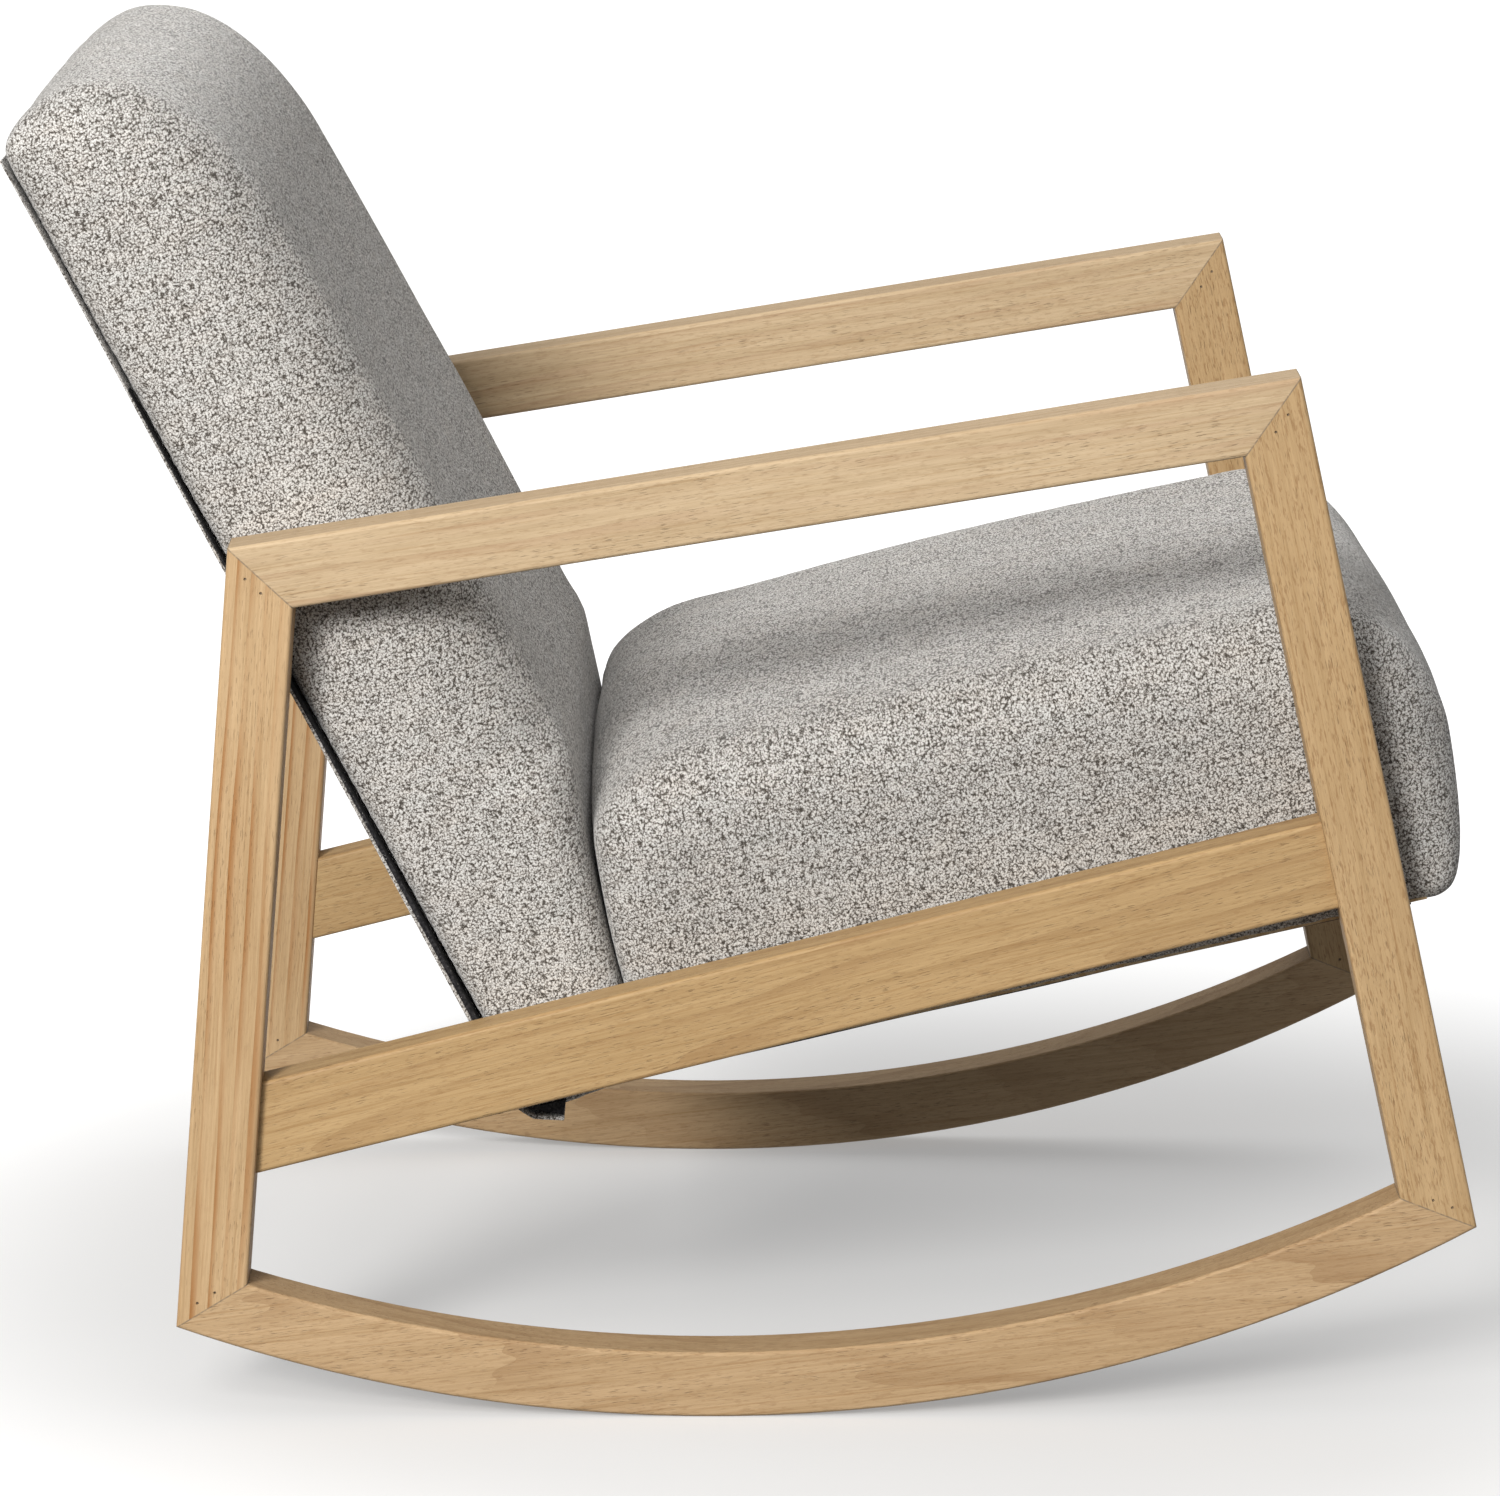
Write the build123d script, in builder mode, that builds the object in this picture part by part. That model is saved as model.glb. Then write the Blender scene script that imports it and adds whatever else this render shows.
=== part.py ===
"""Upholstered rocking chair: two mitred timber side frames, joined by a box seat and a padded back.

Frame: millimetres, +Z up, +X to the sitter's left, the chair faces -Y. The origin is on the floor,
in the middle of the chair's footprint. Side views are drawn as (forward, up) from the rocking point,
which is where the rockers touch the floor.
"""
from build123d import *
from math import cos, radians, sin, sqrt
import os

os.makedirs("parts", exist_ok=True)
SIDES = ("right", "left")  # the sitter's own sides: right is -X

# ---------------------------------------------------------------- side frames
CHAIR_WIDTH = 620.0
TIMBER = 36.0  # thickness of arms, posts, legs and rockers, along X
EDGE_RADIUS = 2.5  # every long edge is eased
LONG_EDGE = 180.0  # longer than any timber is thick or mitred
ROCKING_POINT_Y = 19.2  # the rocking point is this far behind the middle of the footprint

# Each straight edge is (slope in degrees, distance from the rocking point).
ARM_TOP = (9.1, 551.0)
ARM_UNDERSIDE = (9.1, 511.0)
POST_REAR = (85.4, 315.5)
POST_FRONT = (85.4, 276.0)
LEG_FRONT = (-77.5, 456.0)
LEG_REAR = (-77.5, 416.0)
SEAT_SLOPE = 14.1
RAIL_TOP = (SEAT_SLOPE, 257.0)
RAIL_UNDERSIDE = (SEAT_SLOPE, 205.0)
RAIL_THICKNESS = 28.0  # flush with the inner faces, so set back from the outer ones

ROCKER_RADIUS = 917.0  # the running edge
ROCKER_TOP_RADIUS = 901.0
ROCKER_TOP_CENTRE = 940.0  # height of the upper arc's centre, which thins the rocker at its ends
ROCKER_BLANK_REACH = 32.0  # degrees each side of the rocking point, before the ends are cut

KEY_LENGTH = 24.0  # loose tenon across each mitre
KEY_WIDTH = 20.0
KEY_THICKNESS = 10.0
BRAD_RADIUS = 0.8
BRAD_LENGTH = 26.0
BRAD_DEPTH = 1.0  # punched below the face and filled
BRAD_OFFSET = 6.0  # from the mitre, in the upright
BRAD_SPACING = 12.0
DOWEL_RADIUS = 4.0
DOWEL_LENGTH = 40.0
DOWEL_SPACING = 26.0
FIT = 0.05  # glue or clearance round a pin
BLIND = 1.0  # a blind hole is this much deeper than what it holds

# ---------------------------------------------------------------- upholstery
COVER_HALF_WIDTH = 272.0
FABRIC = 2.5
CLEAR = 0.3  # between a cover and what is inside it
INSET = FABRIC + CLEAR
BOARD = 22.0
INNER_HALF_WIDTH = COVER_HALF_WIDTH - INSET
WADDING = 3.0  # softens the boards' outer corners under the cover
BOARD_OUTER_X = INNER_HALF_WIDTH - WADDING
BOARD_INNER_X = BOARD_OUTER_X - BOARD

# Seat section: along and across the seat's slope, from the rocking point.
SEAT_REAR = 12.0
SEAT_TOP = 371.0
SEAT_FRONT = 511.0
SEAT_CORNER_HEIGHT = 36.0  # rear top roll, half its length
SEAT_CORNER_LENGTH = 73.0
SEAT_NOSE_HEIGHT = 71.0  # front top roll
SEAT_NOSE_LENGTH = 111.0
SEAT_UNDERSIDE_REAR = 196.5
SEAT_UNDERSIDE_FRONT = 187.0
SEAT_FRAME_TOP = 294.0
SEAT_HEEL = 500.0  # foot of the front face
SEAT_HEEL_HEIGHT = 18.0  # above the underside
SEAT_TOE = 488.0  # front end of the underside
SEAT_FRAME_FRONT = 474.0
DUST_COVER = 1.2

# Back section: forward from and along the back's slope.
BACK_RECLINE = 27.9
BACK_REAR = -13.5
BACK_FRONT = 103.0
BACK_TOP = 848.0
BACK_ROLL_LENGTH = 83.0  # the big roll over the top, from front to rear
BACK_ROLL_HEIGHT = 128.0
BACK_REAR_RADIUS = 15.0
BACK_FRAME_REAR = -9.0
BACK_FRAME_FRONT = 42.0
BACK_FRAME_BOTTOM = 217.0
BACK_FRAME_TOP = 800.0

STRAP = 1.5  # webbing thickness
STRAP_GAP = 0.2
SEAT_STRAP_WIDTH = 60.0
BACK_STRAP_WIDTH = 50.0

# ---------------------------------------------------------------- fasteners
BOLT_RADIUS = 3.0
BOLT_LENGTH = 45.0
BOLT_HEAD_RADIUS = 5.5
BOLT_HEAD = 4.0
WASHER_RADIUS = 8.0
WASHER = 1.5
INSERT_RADIUS = 5.0
INSERT_LENGTH = 17.0
INSERT_SUNK = 0.5  # below the timber's face
BOLT_HOLE_RADIUS = 3.4
SEAT_BOLTS_ALONG = (110.0, 378.0)  # along the seat rail
BACK_BOLT_ALONG_RAIL = -40.0
BACK_BOLT_ALONG_ARM = -150.0
AMPLE = 1000.0  # a cutter this large reaches past the whole chair


def on_slope(slope, along, across):
    """(forward, up) of a point given along and across a slope."""
    angle = radians(slope)
    return (along * cos(angle) - across * sin(angle), along * sin(angle) + across * cos(angle))


def meet(first, second):
    """Point where two edge lines cross."""
    a, b = radians(first[0]), radians(second[0])
    turn = sin(b - a)
    forward = (first[1] * cos(b) - second[1] * cos(a)) / turn
    up = (first[1] * sin(b) - second[1] * sin(a)) / turn
    return (forward, up)


def meet_arc(line, centre_height, radius):
    """Lower point where an edge line crosses an arc centred above the rocking point."""
    angle = radians(line[0])
    forward, up = on_slope(line[0], 0, line[1])
    up -= centre_height
    nearest = forward * cos(angle) + up * sin(angle)
    reach = sqrt(nearest**2 - forward**2 - up**2 + radius**2)
    ends = [-nearest - reach, -nearest + reach]
    points = [on_slope(line[0], along, line[1]) for along in ends]
    return min(points, key=lambda point: point[1])


def side_plane(x, slope=0.0):
    """Side-view plane at x, facing -X, whose own X axis climbs forwards at the slope."""
    forward = (0, -cos(radians(slope)), sin(radians(slope)))
    return Plane(origin=(x, ROCKING_POINT_Y, 0), x_dir=forward, z_dir=(-1, 0, 0))


def layer(side, near, far, slope=0.0):
    """Side-view plane for a sketch that, extruded by far - near, fills |x| from near to far."""
    return side_plane(-near if side == "right" else far, slope)


def write(built, name):
    """Labels one finished piece and exports it."""
    built.part.label = name
    export_step(built.part, f"parts/{name}.step")


# The frame's own corners, each an (inner, outer) pair that spans a mitre.
REAR_TOP = (meet(ARM_UNDERSIDE, POST_FRONT), meet(ARM_TOP, POST_REAR))
FRONT_TOP = (meet(ARM_UNDERSIDE, LEG_REAR), meet(ARM_TOP, LEG_FRONT))
REAR_FOOT = (
    meet_arc(POST_FRONT, ROCKER_TOP_CENTRE, ROCKER_TOP_RADIUS),
    meet_arc(POST_REAR, ROCKER_RADIUS, ROCKER_RADIUS),
)
FRONT_FOOT = (
    meet_arc(LEG_REAR, ROCKER_TOP_CENTRE, ROCKER_TOP_RADIUS),
    meet_arc(LEG_FRONT, ROCKER_RADIUS, ROCKER_RADIUS),
)
MITRES = (REAR_TOP, FRONT_TOP, REAR_FOOT, FRONT_FOOT)
UPRIGHT_BELOW = (REAR_TOP, FRONT_TOP)  # at the other two mitres the upright is above

RAIL_MIDDLE = (RAIL_TOP[1] + RAIL_UNDERSIDE[1]) / 2
ARM_MIDDLE = (ARM_TOP[1] + ARM_UNDERSIDE[1]) / 2
SEAT_BOLTS = [on_slope(SEAT_SLOPE, along, RAIL_MIDDLE) for along in SEAT_BOLTS_ALONG]
BACK_RAIL_BOLT = on_slope(SEAT_SLOPE, BACK_BOLT_ALONG_RAIL, RAIL_MIDDLE)
BACK_ARM_BOLT = on_slope(ARM_TOP[0], BACK_BOLT_ALONG_ARM, ARM_MIDDLE)
BACK_BOLTS = [BACK_RAIL_BOLT, BACK_ARM_BOLT]

HALF_WIDTH = CHAIR_WIDTH / 2
FRAME_INNER_X = HALF_WIDTH - TIMBER
RAIL_OUTER_X = FRAME_INNER_X + RAIL_THICKNESS
INSERT_END_X = FRAME_INNER_X + INSERT_SUNK + INSERT_LENGTH


def key_place(mitre):
    """Centre and turn in degrees of the loose tenon across a mitre."""
    (u0, z0), (u1, z1) = mitre
    turn = Vector(1, 0).get_signed_angle(Vector(u1 - u0, z1 - z0))
    return ((u0 + u1) / 2, (z0 + z1) / 2), turn


def brad_points(mitre):
    """The two brads that pin a loose tenon, in the upright beside its mitre."""
    inner, outer = Vector(*mitre[0]), Vector(*mitre[1])
    middle = (inner + outer) / 2
    along = (outer - inner).normalized()
    square = Vector(-along.Y, along.X)
    below = square if square.Y < 0 else -square
    towards_upright = below if mitre in UPRIGHT_BELOW else -below
    row = middle + towards_upright * BRAD_OFFSET
    ends = [row - along * BRAD_SPACING / 2, row + along * BRAD_SPACING / 2]
    return [(end.X, end.Y) for end in ends]


def brad_face(side):
    """Both frames are pinned from their -X face."""
    return -HALF_WIDTH if side == "right" else FRAME_INNER_X


def cut_key_pockets(side, mitres):
    """Pockets for the loose tenons, cut from the part being built."""
    middle = (FRAME_INNER_X + HALF_WIDTH) / 2
    near, far = middle - KEY_THICKNESS / 2 - FIT, middle + KEY_THICKNESS / 2 + FIT
    for mitre in mitres:
        centre, turn = key_place(mitre)
        with BuildSketch(layer(side, near, far)) as pocket:
            with Locations(centre):
                Rectangle(KEY_WIDTH + 2 * FIT, KEY_LENGTH + 2 * FIT, rotation=turn)
        extrude(pocket.sketch, amount=far - near, mode=Mode.SUBTRACT)


def cut_brad_holes(side, mitres):
    """Holes for the brads, cut from the part being built."""
    deep = BRAD_DEPTH + BRAD_LENGTH + FIT
    for mitre in mitres:
        with BuildSketch(side_plane(brad_face(side) + deep)) as holes:
            with Locations(*brad_points(mitre)):
                Circle(BRAD_RADIUS + FIT)
        extrude(holes.sketch, amount=deep, mode=Mode.SUBTRACT)


def cut_insert_holes(side, points):
    """Blind holes for threaded inserts, in the inner face of the part being built."""
    deep = INSERT_END_X + BLIND - FRAME_INNER_X
    with BuildSketch(layer(side, FRAME_INNER_X, FRAME_INNER_X + deep)) as holes:
        with Locations(*points):
            Circle(INSERT_RADIUS + FIT)
    extrude(holes.sketch, amount=deep, mode=Mode.SUBTRACT)


def dowel_planes(side, upright_edge):
    """Planes square to the seat rail where its two dowels cross an upright's face."""
    x = (FRAME_INNER_X + RAIL_OUTER_X) / 2 * (-1 if side == "right" else 1)
    direction = (0, -cos(radians(SEAT_SLOPE)), sin(radians(SEAT_SLOPE)))
    planes = []
    for across in (RAIL_MIDDLE - DOWEL_SPACING / 2, RAIL_MIDDLE + DOWEL_SPACING / 2):
        forward, up = meet((SEAT_SLOPE, across), upright_edge)
        origin = (x, ROCKING_POINT_Y - forward, up)
        planes.append(Plane(origin=origin, x_dir=(1, 0, 0), z_dir=direction))
    return planes


def cut_dowel_holes(side, upright_edge):
    """Dowel holes, cut from the part being built."""
    for plane in dowel_planes(side, upright_edge):
        with BuildSketch(plane) as hole:
            Circle(DOWEL_RADIUS + FIT)
        extrude(hole.sketch, amount=DOWEL_LENGTH / 2 + BLIND, both=True, mode=Mode.SUBTRACT)


def ease_long_edges(built):
    """Rounds the edges that run the length of a timber and leaves its ends square."""
    lengthwise = built.edges().filter_by(lambda edge: edge.length > LONG_EDGE)
    fillet(lengthwise, EDGE_RADIUS)


def round_arc(centre_height, radius):
    """One of the runner's arcs, as an ellipse of equal radii, so its eased edges are free-form."""
    reach = {"start_angle": 270 - ROCKER_BLANK_REACH, "arc_size": 2 * ROCKER_BLANK_REACH}
    return EllipticalCenterArc((0, centre_height), radius, radius, **reach)


def make_rocker(side):
    """The curved runner, mitred into the leg and the post."""
    plane = layer(side, FRAME_INNER_X, HALF_WIDTH)
    cut_ends = []
    for inner, outer in (REAR_FOOT, reversed(FRONT_FOOT)):
        mitre = Vector(*outer) - Vector(*inner)
        cut_ends += [Vector(*inner) - mitre, Vector(*outer) + mitre]
    with BuildPart() as rocker:
        with BuildSketch(plane):
            with BuildLine():
                running = round_arc(ROCKER_RADIUS, ROCKER_RADIUS)
                upper = round_arc(ROCKER_TOP_CENTRE, ROCKER_TOP_RADIUS)
                Line(running @ 0, upper @ 0)
                Line(running @ 1, upper @ 1)
            make_face()
        extrude(amount=TIMBER)
        ease_long_edges(rocker)
        with BuildSketch(plane) as between_mitres:
            with BuildLine():
                rear_end, front_end = cut_ends[:2], cut_ends[2:]
                Polyline(*rear_end, (0, -AMPLE), *front_end, (0, AMPLE), close=True)
            make_face()
        extrude(between_mitres.sketch, amount=TIMBER, mode=Mode.INTERSECT)
        cut_key_pockets(side, (REAR_FOOT, FRONT_FOOT))
    write(rocker, f"{side}_rocker")


def make_arm(side):
    """The sloping armrest, mitred at both ends."""
    with BuildPart() as arm:
        with BuildSketch(layer(side, FRAME_INNER_X, HALF_WIDTH)):
            with BuildLine():
                Polyline(*REAR_TOP, *reversed(FRONT_TOP), close=True)
            make_face()
        extrude(amount=TIMBER)
        ease_long_edges(arm)
        cut_key_pockets(side, (REAR_TOP, FRONT_TOP))
        cut_insert_holes(side, [BACK_ARM_BOLT])
    write(arm, f"{side}_arm")


def make_upright(side, name, top, foot, rail_edge):
    """A rear post or a front leg, mitred at both ends, with dowel holes for the seat rail."""
    with BuildPart() as upright:
        with BuildSketch(layer(side, FRAME_INNER_X, HALF_WIDTH)):
            with BuildLine():
                Polyline(*top, *reversed(foot), close=True)
            make_face()
        extrude(amount=TIMBER)
        ease_long_edges(upright)
        cut_key_pockets(side, (top, foot))
        cut_brad_holes(side, (top, foot))
        cut_dowel_holes(side, rail_edge)
    write(upright, f"{side}_{name}")


def make_seat_rail(side):
    """The rail that the seat and the back are bolted to, doweled between post and leg."""
    corners = [meet(RAIL_TOP, POST_FRONT), meet(RAIL_TOP, LEG_REAR)]
    corners += [meet(RAIL_UNDERSIDE, LEG_REAR), meet(RAIL_UNDERSIDE, POST_FRONT)]
    with BuildPart() as rail:
        with BuildSketch(layer(side, FRAME_INNER_X, RAIL_OUTER_X)):
            with BuildLine():
                Polyline(*corners, close=True)
            make_face()
        extrude(amount=RAIL_THICKNESS)
        ease_long_edges(rail)
        cut_dowel_holes(side, POST_FRONT)
        cut_dowel_holes(side, LEG_REAR)
        cut_insert_holes(side, SEAT_BOLTS + [BACK_RAIL_BOLT])
    write(rail, f"{side}_seat_rail")


def make_mitre_keys(side):
    """Loose tenons, one across each of a frame's four mitres."""
    middle = (FRAME_INNER_X + HALF_WIDTH) / 2
    near, far = middle - KEY_THICKNESS / 2, middle + KEY_THICKNESS / 2
    with BuildPart() as keys:
        for mitre in MITRES:
            centre, turn = key_place(mitre)
            with BuildSketch(layer(side, near, far)):
                with Locations(centre):
                    Rectangle(KEY_WIDTH, KEY_LENGTH, rotation=turn)
            extrude(amount=KEY_THICKNESS)
        cut_brad_holes(side, MITRES)
    write(keys, f"{side}_mitre_keys")


def make_brads(side):
    """Headless brads that hold the loose tenons while the glue sets."""
    start = brad_face(side) + BRAD_DEPTH + BRAD_LENGTH
    with BuildPart() as brads:
        for mitre in MITRES:
            with BuildSketch(side_plane(start)):
                with Locations(*brad_points(mitre)):
                    Circle(BRAD_RADIUS)
            extrude(amount=BRAD_LENGTH)
    write(brads, f"{side}_brads")


def make_rail_dowels(side):
    """Two dowels at each end of the seat rail."""
    with BuildPart() as dowels:
        for upright_edge in (POST_FRONT, LEG_REAR):
            for plane in dowel_planes(side, upright_edge):
                with BuildSketch(plane):
                    Circle(DOWEL_RADIUS)
                extrude(amount=DOWEL_LENGTH / 2, both=True)
    write(dowels, f"{side}_rail_dowels")


for side in SIDES:
    make_rocker(side)
    make_arm(side)
    make_upright(side, "rear_post", REAR_TOP, REAR_FOOT, POST_FRONT)
    make_upright(side, "front_leg", FRONT_TOP, FRONT_FOOT, LEG_REAR)
    make_seat_rail(side)
    make_mitre_keys(side)
    make_brads(side)
    make_rail_dowels(side)


# ---------------------------------------------------------------- seat unit
def seat_underside(along):
    """Height across the slope of the seat's underside, which rises towards the rear."""
    fall = (SEAT_UNDERSIDE_REAR - SEAT_UNDERSIDE_FRONT) / (SEAT_HEEL - SEAT_REAR)
    return SEAT_UNDERSIDE_REAR - (along - SEAT_REAR) * fall


def seat_outline(inset, underside_drop=0.0):
    """Face of the seat's side section, drawn this far inside the cover's outer surface."""
    rear, top, front = SEAT_REAR + inset, SEAT_TOP - inset, SEAT_FRONT - inset
    rear_roll = (SEAT_REAR + SEAT_CORNER_LENGTH, SEAT_TOP - SEAT_CORNER_HEIGHT)
    nose = (SEAT_FRONT - SEAT_NOSE_LENGTH, SEAT_TOP - SEAT_NOSE_HEIGHT)
    heel = (SEAT_HEEL - inset, seat_underside(SEAT_HEEL) + SEAT_HEEL_HEIGHT)
    toe = (SEAT_TOE - inset, seat_underside(SEAT_TOE) - underside_drop)
    rear_foot = (rear, seat_underside(rear) - underside_drop)
    with BuildLine() as outline:
        EllipticalCenterArc(nose, front - nose[0], top - nose[1], start_angle=0, arc_size=90)
        Line((nose[0], top), (rear_roll[0], top))
        rear_radii = (rear_roll[0] - rear, top - rear_roll[1])
        EllipticalCenterArc(rear_roll, *rear_radii, start_angle=90, arc_size=90)
        Line((rear, rear_roll[1]), rear_foot)
        Line(rear_foot, toe)
        Spline(toe, heel, tangents=[(1, 0), (0.1, 1)])
        Line(heel, (front, nose[1]))
    make_face(outline.edges())


def cut_bolt_holes(side, points, near, far):
    """Clearance holes along X, cut from the part being built."""
    with BuildSketch(layer(side, near, far)) as holes:
        with Locations(*points):
            Circle(BOLT_HOLE_RADIUS)
    extrude(holes.sketch, amount=far - near, mode=Mode.SUBTRACT)


def corner_box(plane, low, high, depth):
    """A box from two corners of its rectangle on a plane, extruded by depth into the part."""
    with BuildSketch(plane) as face:
        with Locations(((low[0] + high[0]) / 2, (low[1] + high[1]) / 2)):
            Rectangle(high[0] - low[0], high[1] - low[1])
    extrude(face.sketch, amount=depth)


with BuildPart() as seat_cover:
    with BuildSketch(side_plane(COVER_HALF_WIDTH, SEAT_SLOPE)):
        seat_outline(0)
    extrude(amount=2 * COVER_HALF_WIDTH)
    with BuildSketch(side_plane(COVER_HALF_WIDTH - FABRIC, SEAT_SLOPE)):
        seat_outline(FABRIC, underside_drop=FABRIC)
    extrude(amount=2 * (COVER_HALF_WIDTH - FABRIC), mode=Mode.SUBTRACT)
    for side in SIDES:
        cut_bolt_holes(side, SEAT_BOLTS, COVER_HALF_WIDTH - 2 * FABRIC, COVER_HALF_WIDTH)
write(seat_cover, "seat_cover")

SEAT_STRAPS_TOP = SEAT_FRAME_TOP + 2 * (STRAP_GAP + STRAP)
with BuildPart() as seat_foam:
    with BuildSketch(side_plane(INNER_HALF_WIDTH, SEAT_SLOPE)):
        seat_outline(INSET)
        with Locations((0, 0)):
            Rectangle(2 * AMPLE, 2 * (SEAT_STRAPS_TOP + STRAP_GAP), mode=Mode.SUBTRACT)
    extrude(amount=2 * INNER_HALF_WIDTH)
write(seat_foam, "seat_foam")

SEAT_FRAME_REAR = SEAT_REAR + INSET + WADDING
FRAME_LIFT = DUST_COVER + 2 * CLEAR  # boards stand this far above the seat's underside
for side in SIDES:
    with BuildPart() as seat_side_board:
        with BuildSketch(layer(side, BOARD_INNER_X, BOARD_OUTER_X, SEAT_SLOPE)):
            with BuildLine():
                rear_foot = (SEAT_FRAME_REAR, seat_underside(SEAT_FRAME_REAR) + FRAME_LIFT)
                front_foot = (SEAT_FRAME_FRONT, seat_underside(SEAT_FRAME_FRONT) + FRAME_LIFT)
                front_top = (SEAT_FRAME_FRONT, SEAT_FRAME_TOP)
                rear_top = (SEAT_FRAME_REAR, SEAT_FRAME_TOP)
                Polyline(rear_foot, front_foot, front_top, rear_top, close=True)
            make_face()
        extrude(amount=BOARD)
        cut_bolt_holes(side, SEAT_BOLTS, BOARD_INNER_X, BOARD_OUTER_X)
    write(seat_side_board, f"seat_{side}_board")

SEAT_CROSS_HALF = BOARD_INNER_X
for name, rear in (("rear", SEAT_FRAME_REAR), ("front", SEAT_FRAME_FRONT - BOARD)):
    with BuildPart() as seat_cross_board:
        foot = seat_underside(rear) + FRAME_LIFT
        plane = side_plane(SEAT_CROSS_HALF, SEAT_SLOPE)
        corner_box(plane, (rear, foot), (rear + BOARD, SEAT_FRAME_TOP), 2 * SEAT_CROSS_HALF)
    write(seat_cross_board, f"seat_{name}_board")

BLOCK_LEG = 60.0
BLOCK_BOTTOM = 206.0
BLOCK_TOP = 276.0
block_plane = Plane(
    origin=(0, ROCKING_POINT_Y, 0),
    x_dir=(1, 0, 0),
    z_dir=(0, sin(radians(SEAT_SLOPE)), cos(radians(SEAT_SLOPE))),
)
with BuildPart() as seat_corner_blocks:
    with BuildSketch(block_plane.offset(BLOCK_BOTTOM)):
        for x, inward_x in ((BOARD_INNER_X, -1), (-BOARD_INNER_X, 1)):
            # Along this plane's own Y axis the seat's front is negative.
            for y, inward_y in ((-SEAT_FRAME_REAR - BOARD, -1), (BOARD - SEAT_FRAME_FRONT, 1)):
                with BuildLine():
                    corner = (x, y)
                    along_board = (x + inward_x * BLOCK_LEG, y)
                    along_side = (x, y + inward_y * BLOCK_LEG)
                    Polyline(corner, along_board, along_side, close=True)
                make_face()
    extrude(amount=BLOCK_TOP - BLOCK_BOTTOM)
write(seat_corner_blocks, "seat_corner_blocks")

STRAP_HALF = INNER_HALF_WIDTH - 6  # half the length of the straps that run across
STRAP_END = 5.0  # the other straps stop this far inside the frame
SEAT_STRAP_PITCH = 92.0
with BuildPart() as seat_webbing:
    cross_plane = side_plane(STRAP_HALF, SEAT_SLOPE)
    cross_foot = SEAT_FRAME_TOP + STRAP_GAP
    seat_middle = (SEAT_FRAME_REAR + SEAT_FRAME_FRONT) / 2
    for step in range(-2, 3):
        middle = seat_middle + step * SEAT_STRAP_PITCH
        low = (middle - SEAT_STRAP_WIDTH / 2, cross_foot)
        high = (middle + SEAT_STRAP_WIDTH / 2, cross_foot + STRAP)
        corner_box(cross_plane, low, high, 2 * STRAP_HALF)
    long_foot = cross_foot + STRAP + STRAP_GAP
    low = (SEAT_FRAME_REAR + STRAP_END, long_foot)
    high = (SEAT_FRAME_FRONT - STRAP_END, long_foot + STRAP)
    for step in range(-2, 3):
        plane = side_plane(step * SEAT_STRAP_PITCH + SEAT_STRAP_WIDTH / 2, SEAT_SLOPE)
        corner_box(plane, low, high, SEAT_STRAP_WIDTH)
write(seat_webbing, "seat_webbing")

with BuildPart() as seat_dust_cover:
    with BuildSketch(side_plane(INNER_HALF_WIDTH, SEAT_SLOPE)):
        with BuildLine():
            sheet_rear, sheet_front = SEAT_FRAME_REAR, SEAT_TOE - INSET
            lifts = (CLEAR, CLEAR + DUST_COVER)
            Polyline(
                (sheet_rear, seat_underside(sheet_rear) + lifts[0]),
                (sheet_front, seat_underside(sheet_front) + lifts[0]),
                (sheet_front, seat_underside(sheet_front) + lifts[1]),
                (sheet_rear, seat_underside(sheet_rear) + lifts[1]),
                close=True,
            )
        make_face()
    extrude(amount=2 * INNER_HALF_WIDTH)
write(seat_dust_cover, "seat_dust_cover")


# ---------------------------------------------------------------- back unit
def back_point(along, across):
    """A point of the seat's section, given in the back's own section."""
    forward, up = on_slope(SEAT_SLOPE, along, across)
    return on_slope(-BACK_RECLINE, forward, up)


BACK_GAP = 2.0  # left between the back's cover and the seat's
BACK_FOOT_FRONT = back_point(SEAT_REAR - BACK_GAP, SEAT_UNDERSIDE_REAR + 1)
BACK_SEAT_CORNER = back_point(SEAT_REAR - BACK_GAP, SEAT_TOP - 1)
BACK_FOOT_SLOPE = -0.238
BACK_FOOT_CHAMFER = 8.0  # off the foot's rear corner


def back_foot(forward):
    """Height along the back's slope of its foot, which is cut level with the seat's underside."""
    return BACK_FOOT_FRONT[1] + BACK_FOOT_SLOPE * (forward - BACK_FOOT_FRONT[0])


BACK_SWELL = 40.0  # over this height above the seat the back fills out to its full depth
BACK_FILLS_OUT = BACK_SEAT_CORNER[1] + BACK_SWELL


def back_outline(inset):
    """Face of the back's side section, drawn this far inside the cover's outer surface."""
    rear, top, front = BACK_REAR + inset, BACK_TOP - inset, BACK_FRONT - inset
    roll = (BACK_FRONT - BACK_ROLL_LENGTH, BACK_TOP - BACK_ROLL_HEIGHT)
    corner = BACK_REAR_RADIUS - inset
    rear_foot = (rear, back_foot(rear) + BACK_FOOT_CHAMFER + inset)
    chamfer_foot = (rear + BACK_FOOT_CHAMFER, back_foot(rear + BACK_FOOT_CHAMFER) + inset)
    front_foot = (BACK_FOOT_FRONT[0] - inset, BACK_FOOT_FRONT[1] + inset)
    seat_corner = (BACK_SEAT_CORNER[0] - inset, BACK_SEAT_CORNER[1])
    with BuildLine() as outline:
        Polyline(rear_foot, chamfer_foot, front_foot, seat_corner, (front, BACK_FILLS_OUT))
        Line((front, BACK_FILLS_OUT), (front, roll[1]))
        EllipticalCenterArc(roll, front - roll[0], top - roll[1], start_angle=0, arc_size=90)
        Line((roll[0], top), (rear + corner, top))
        RadiusArc((rear + corner, top), (rear, top - corner), -corner)
        Line((rear, top - corner), rear_foot)
    make_face(outline.edges())


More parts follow.
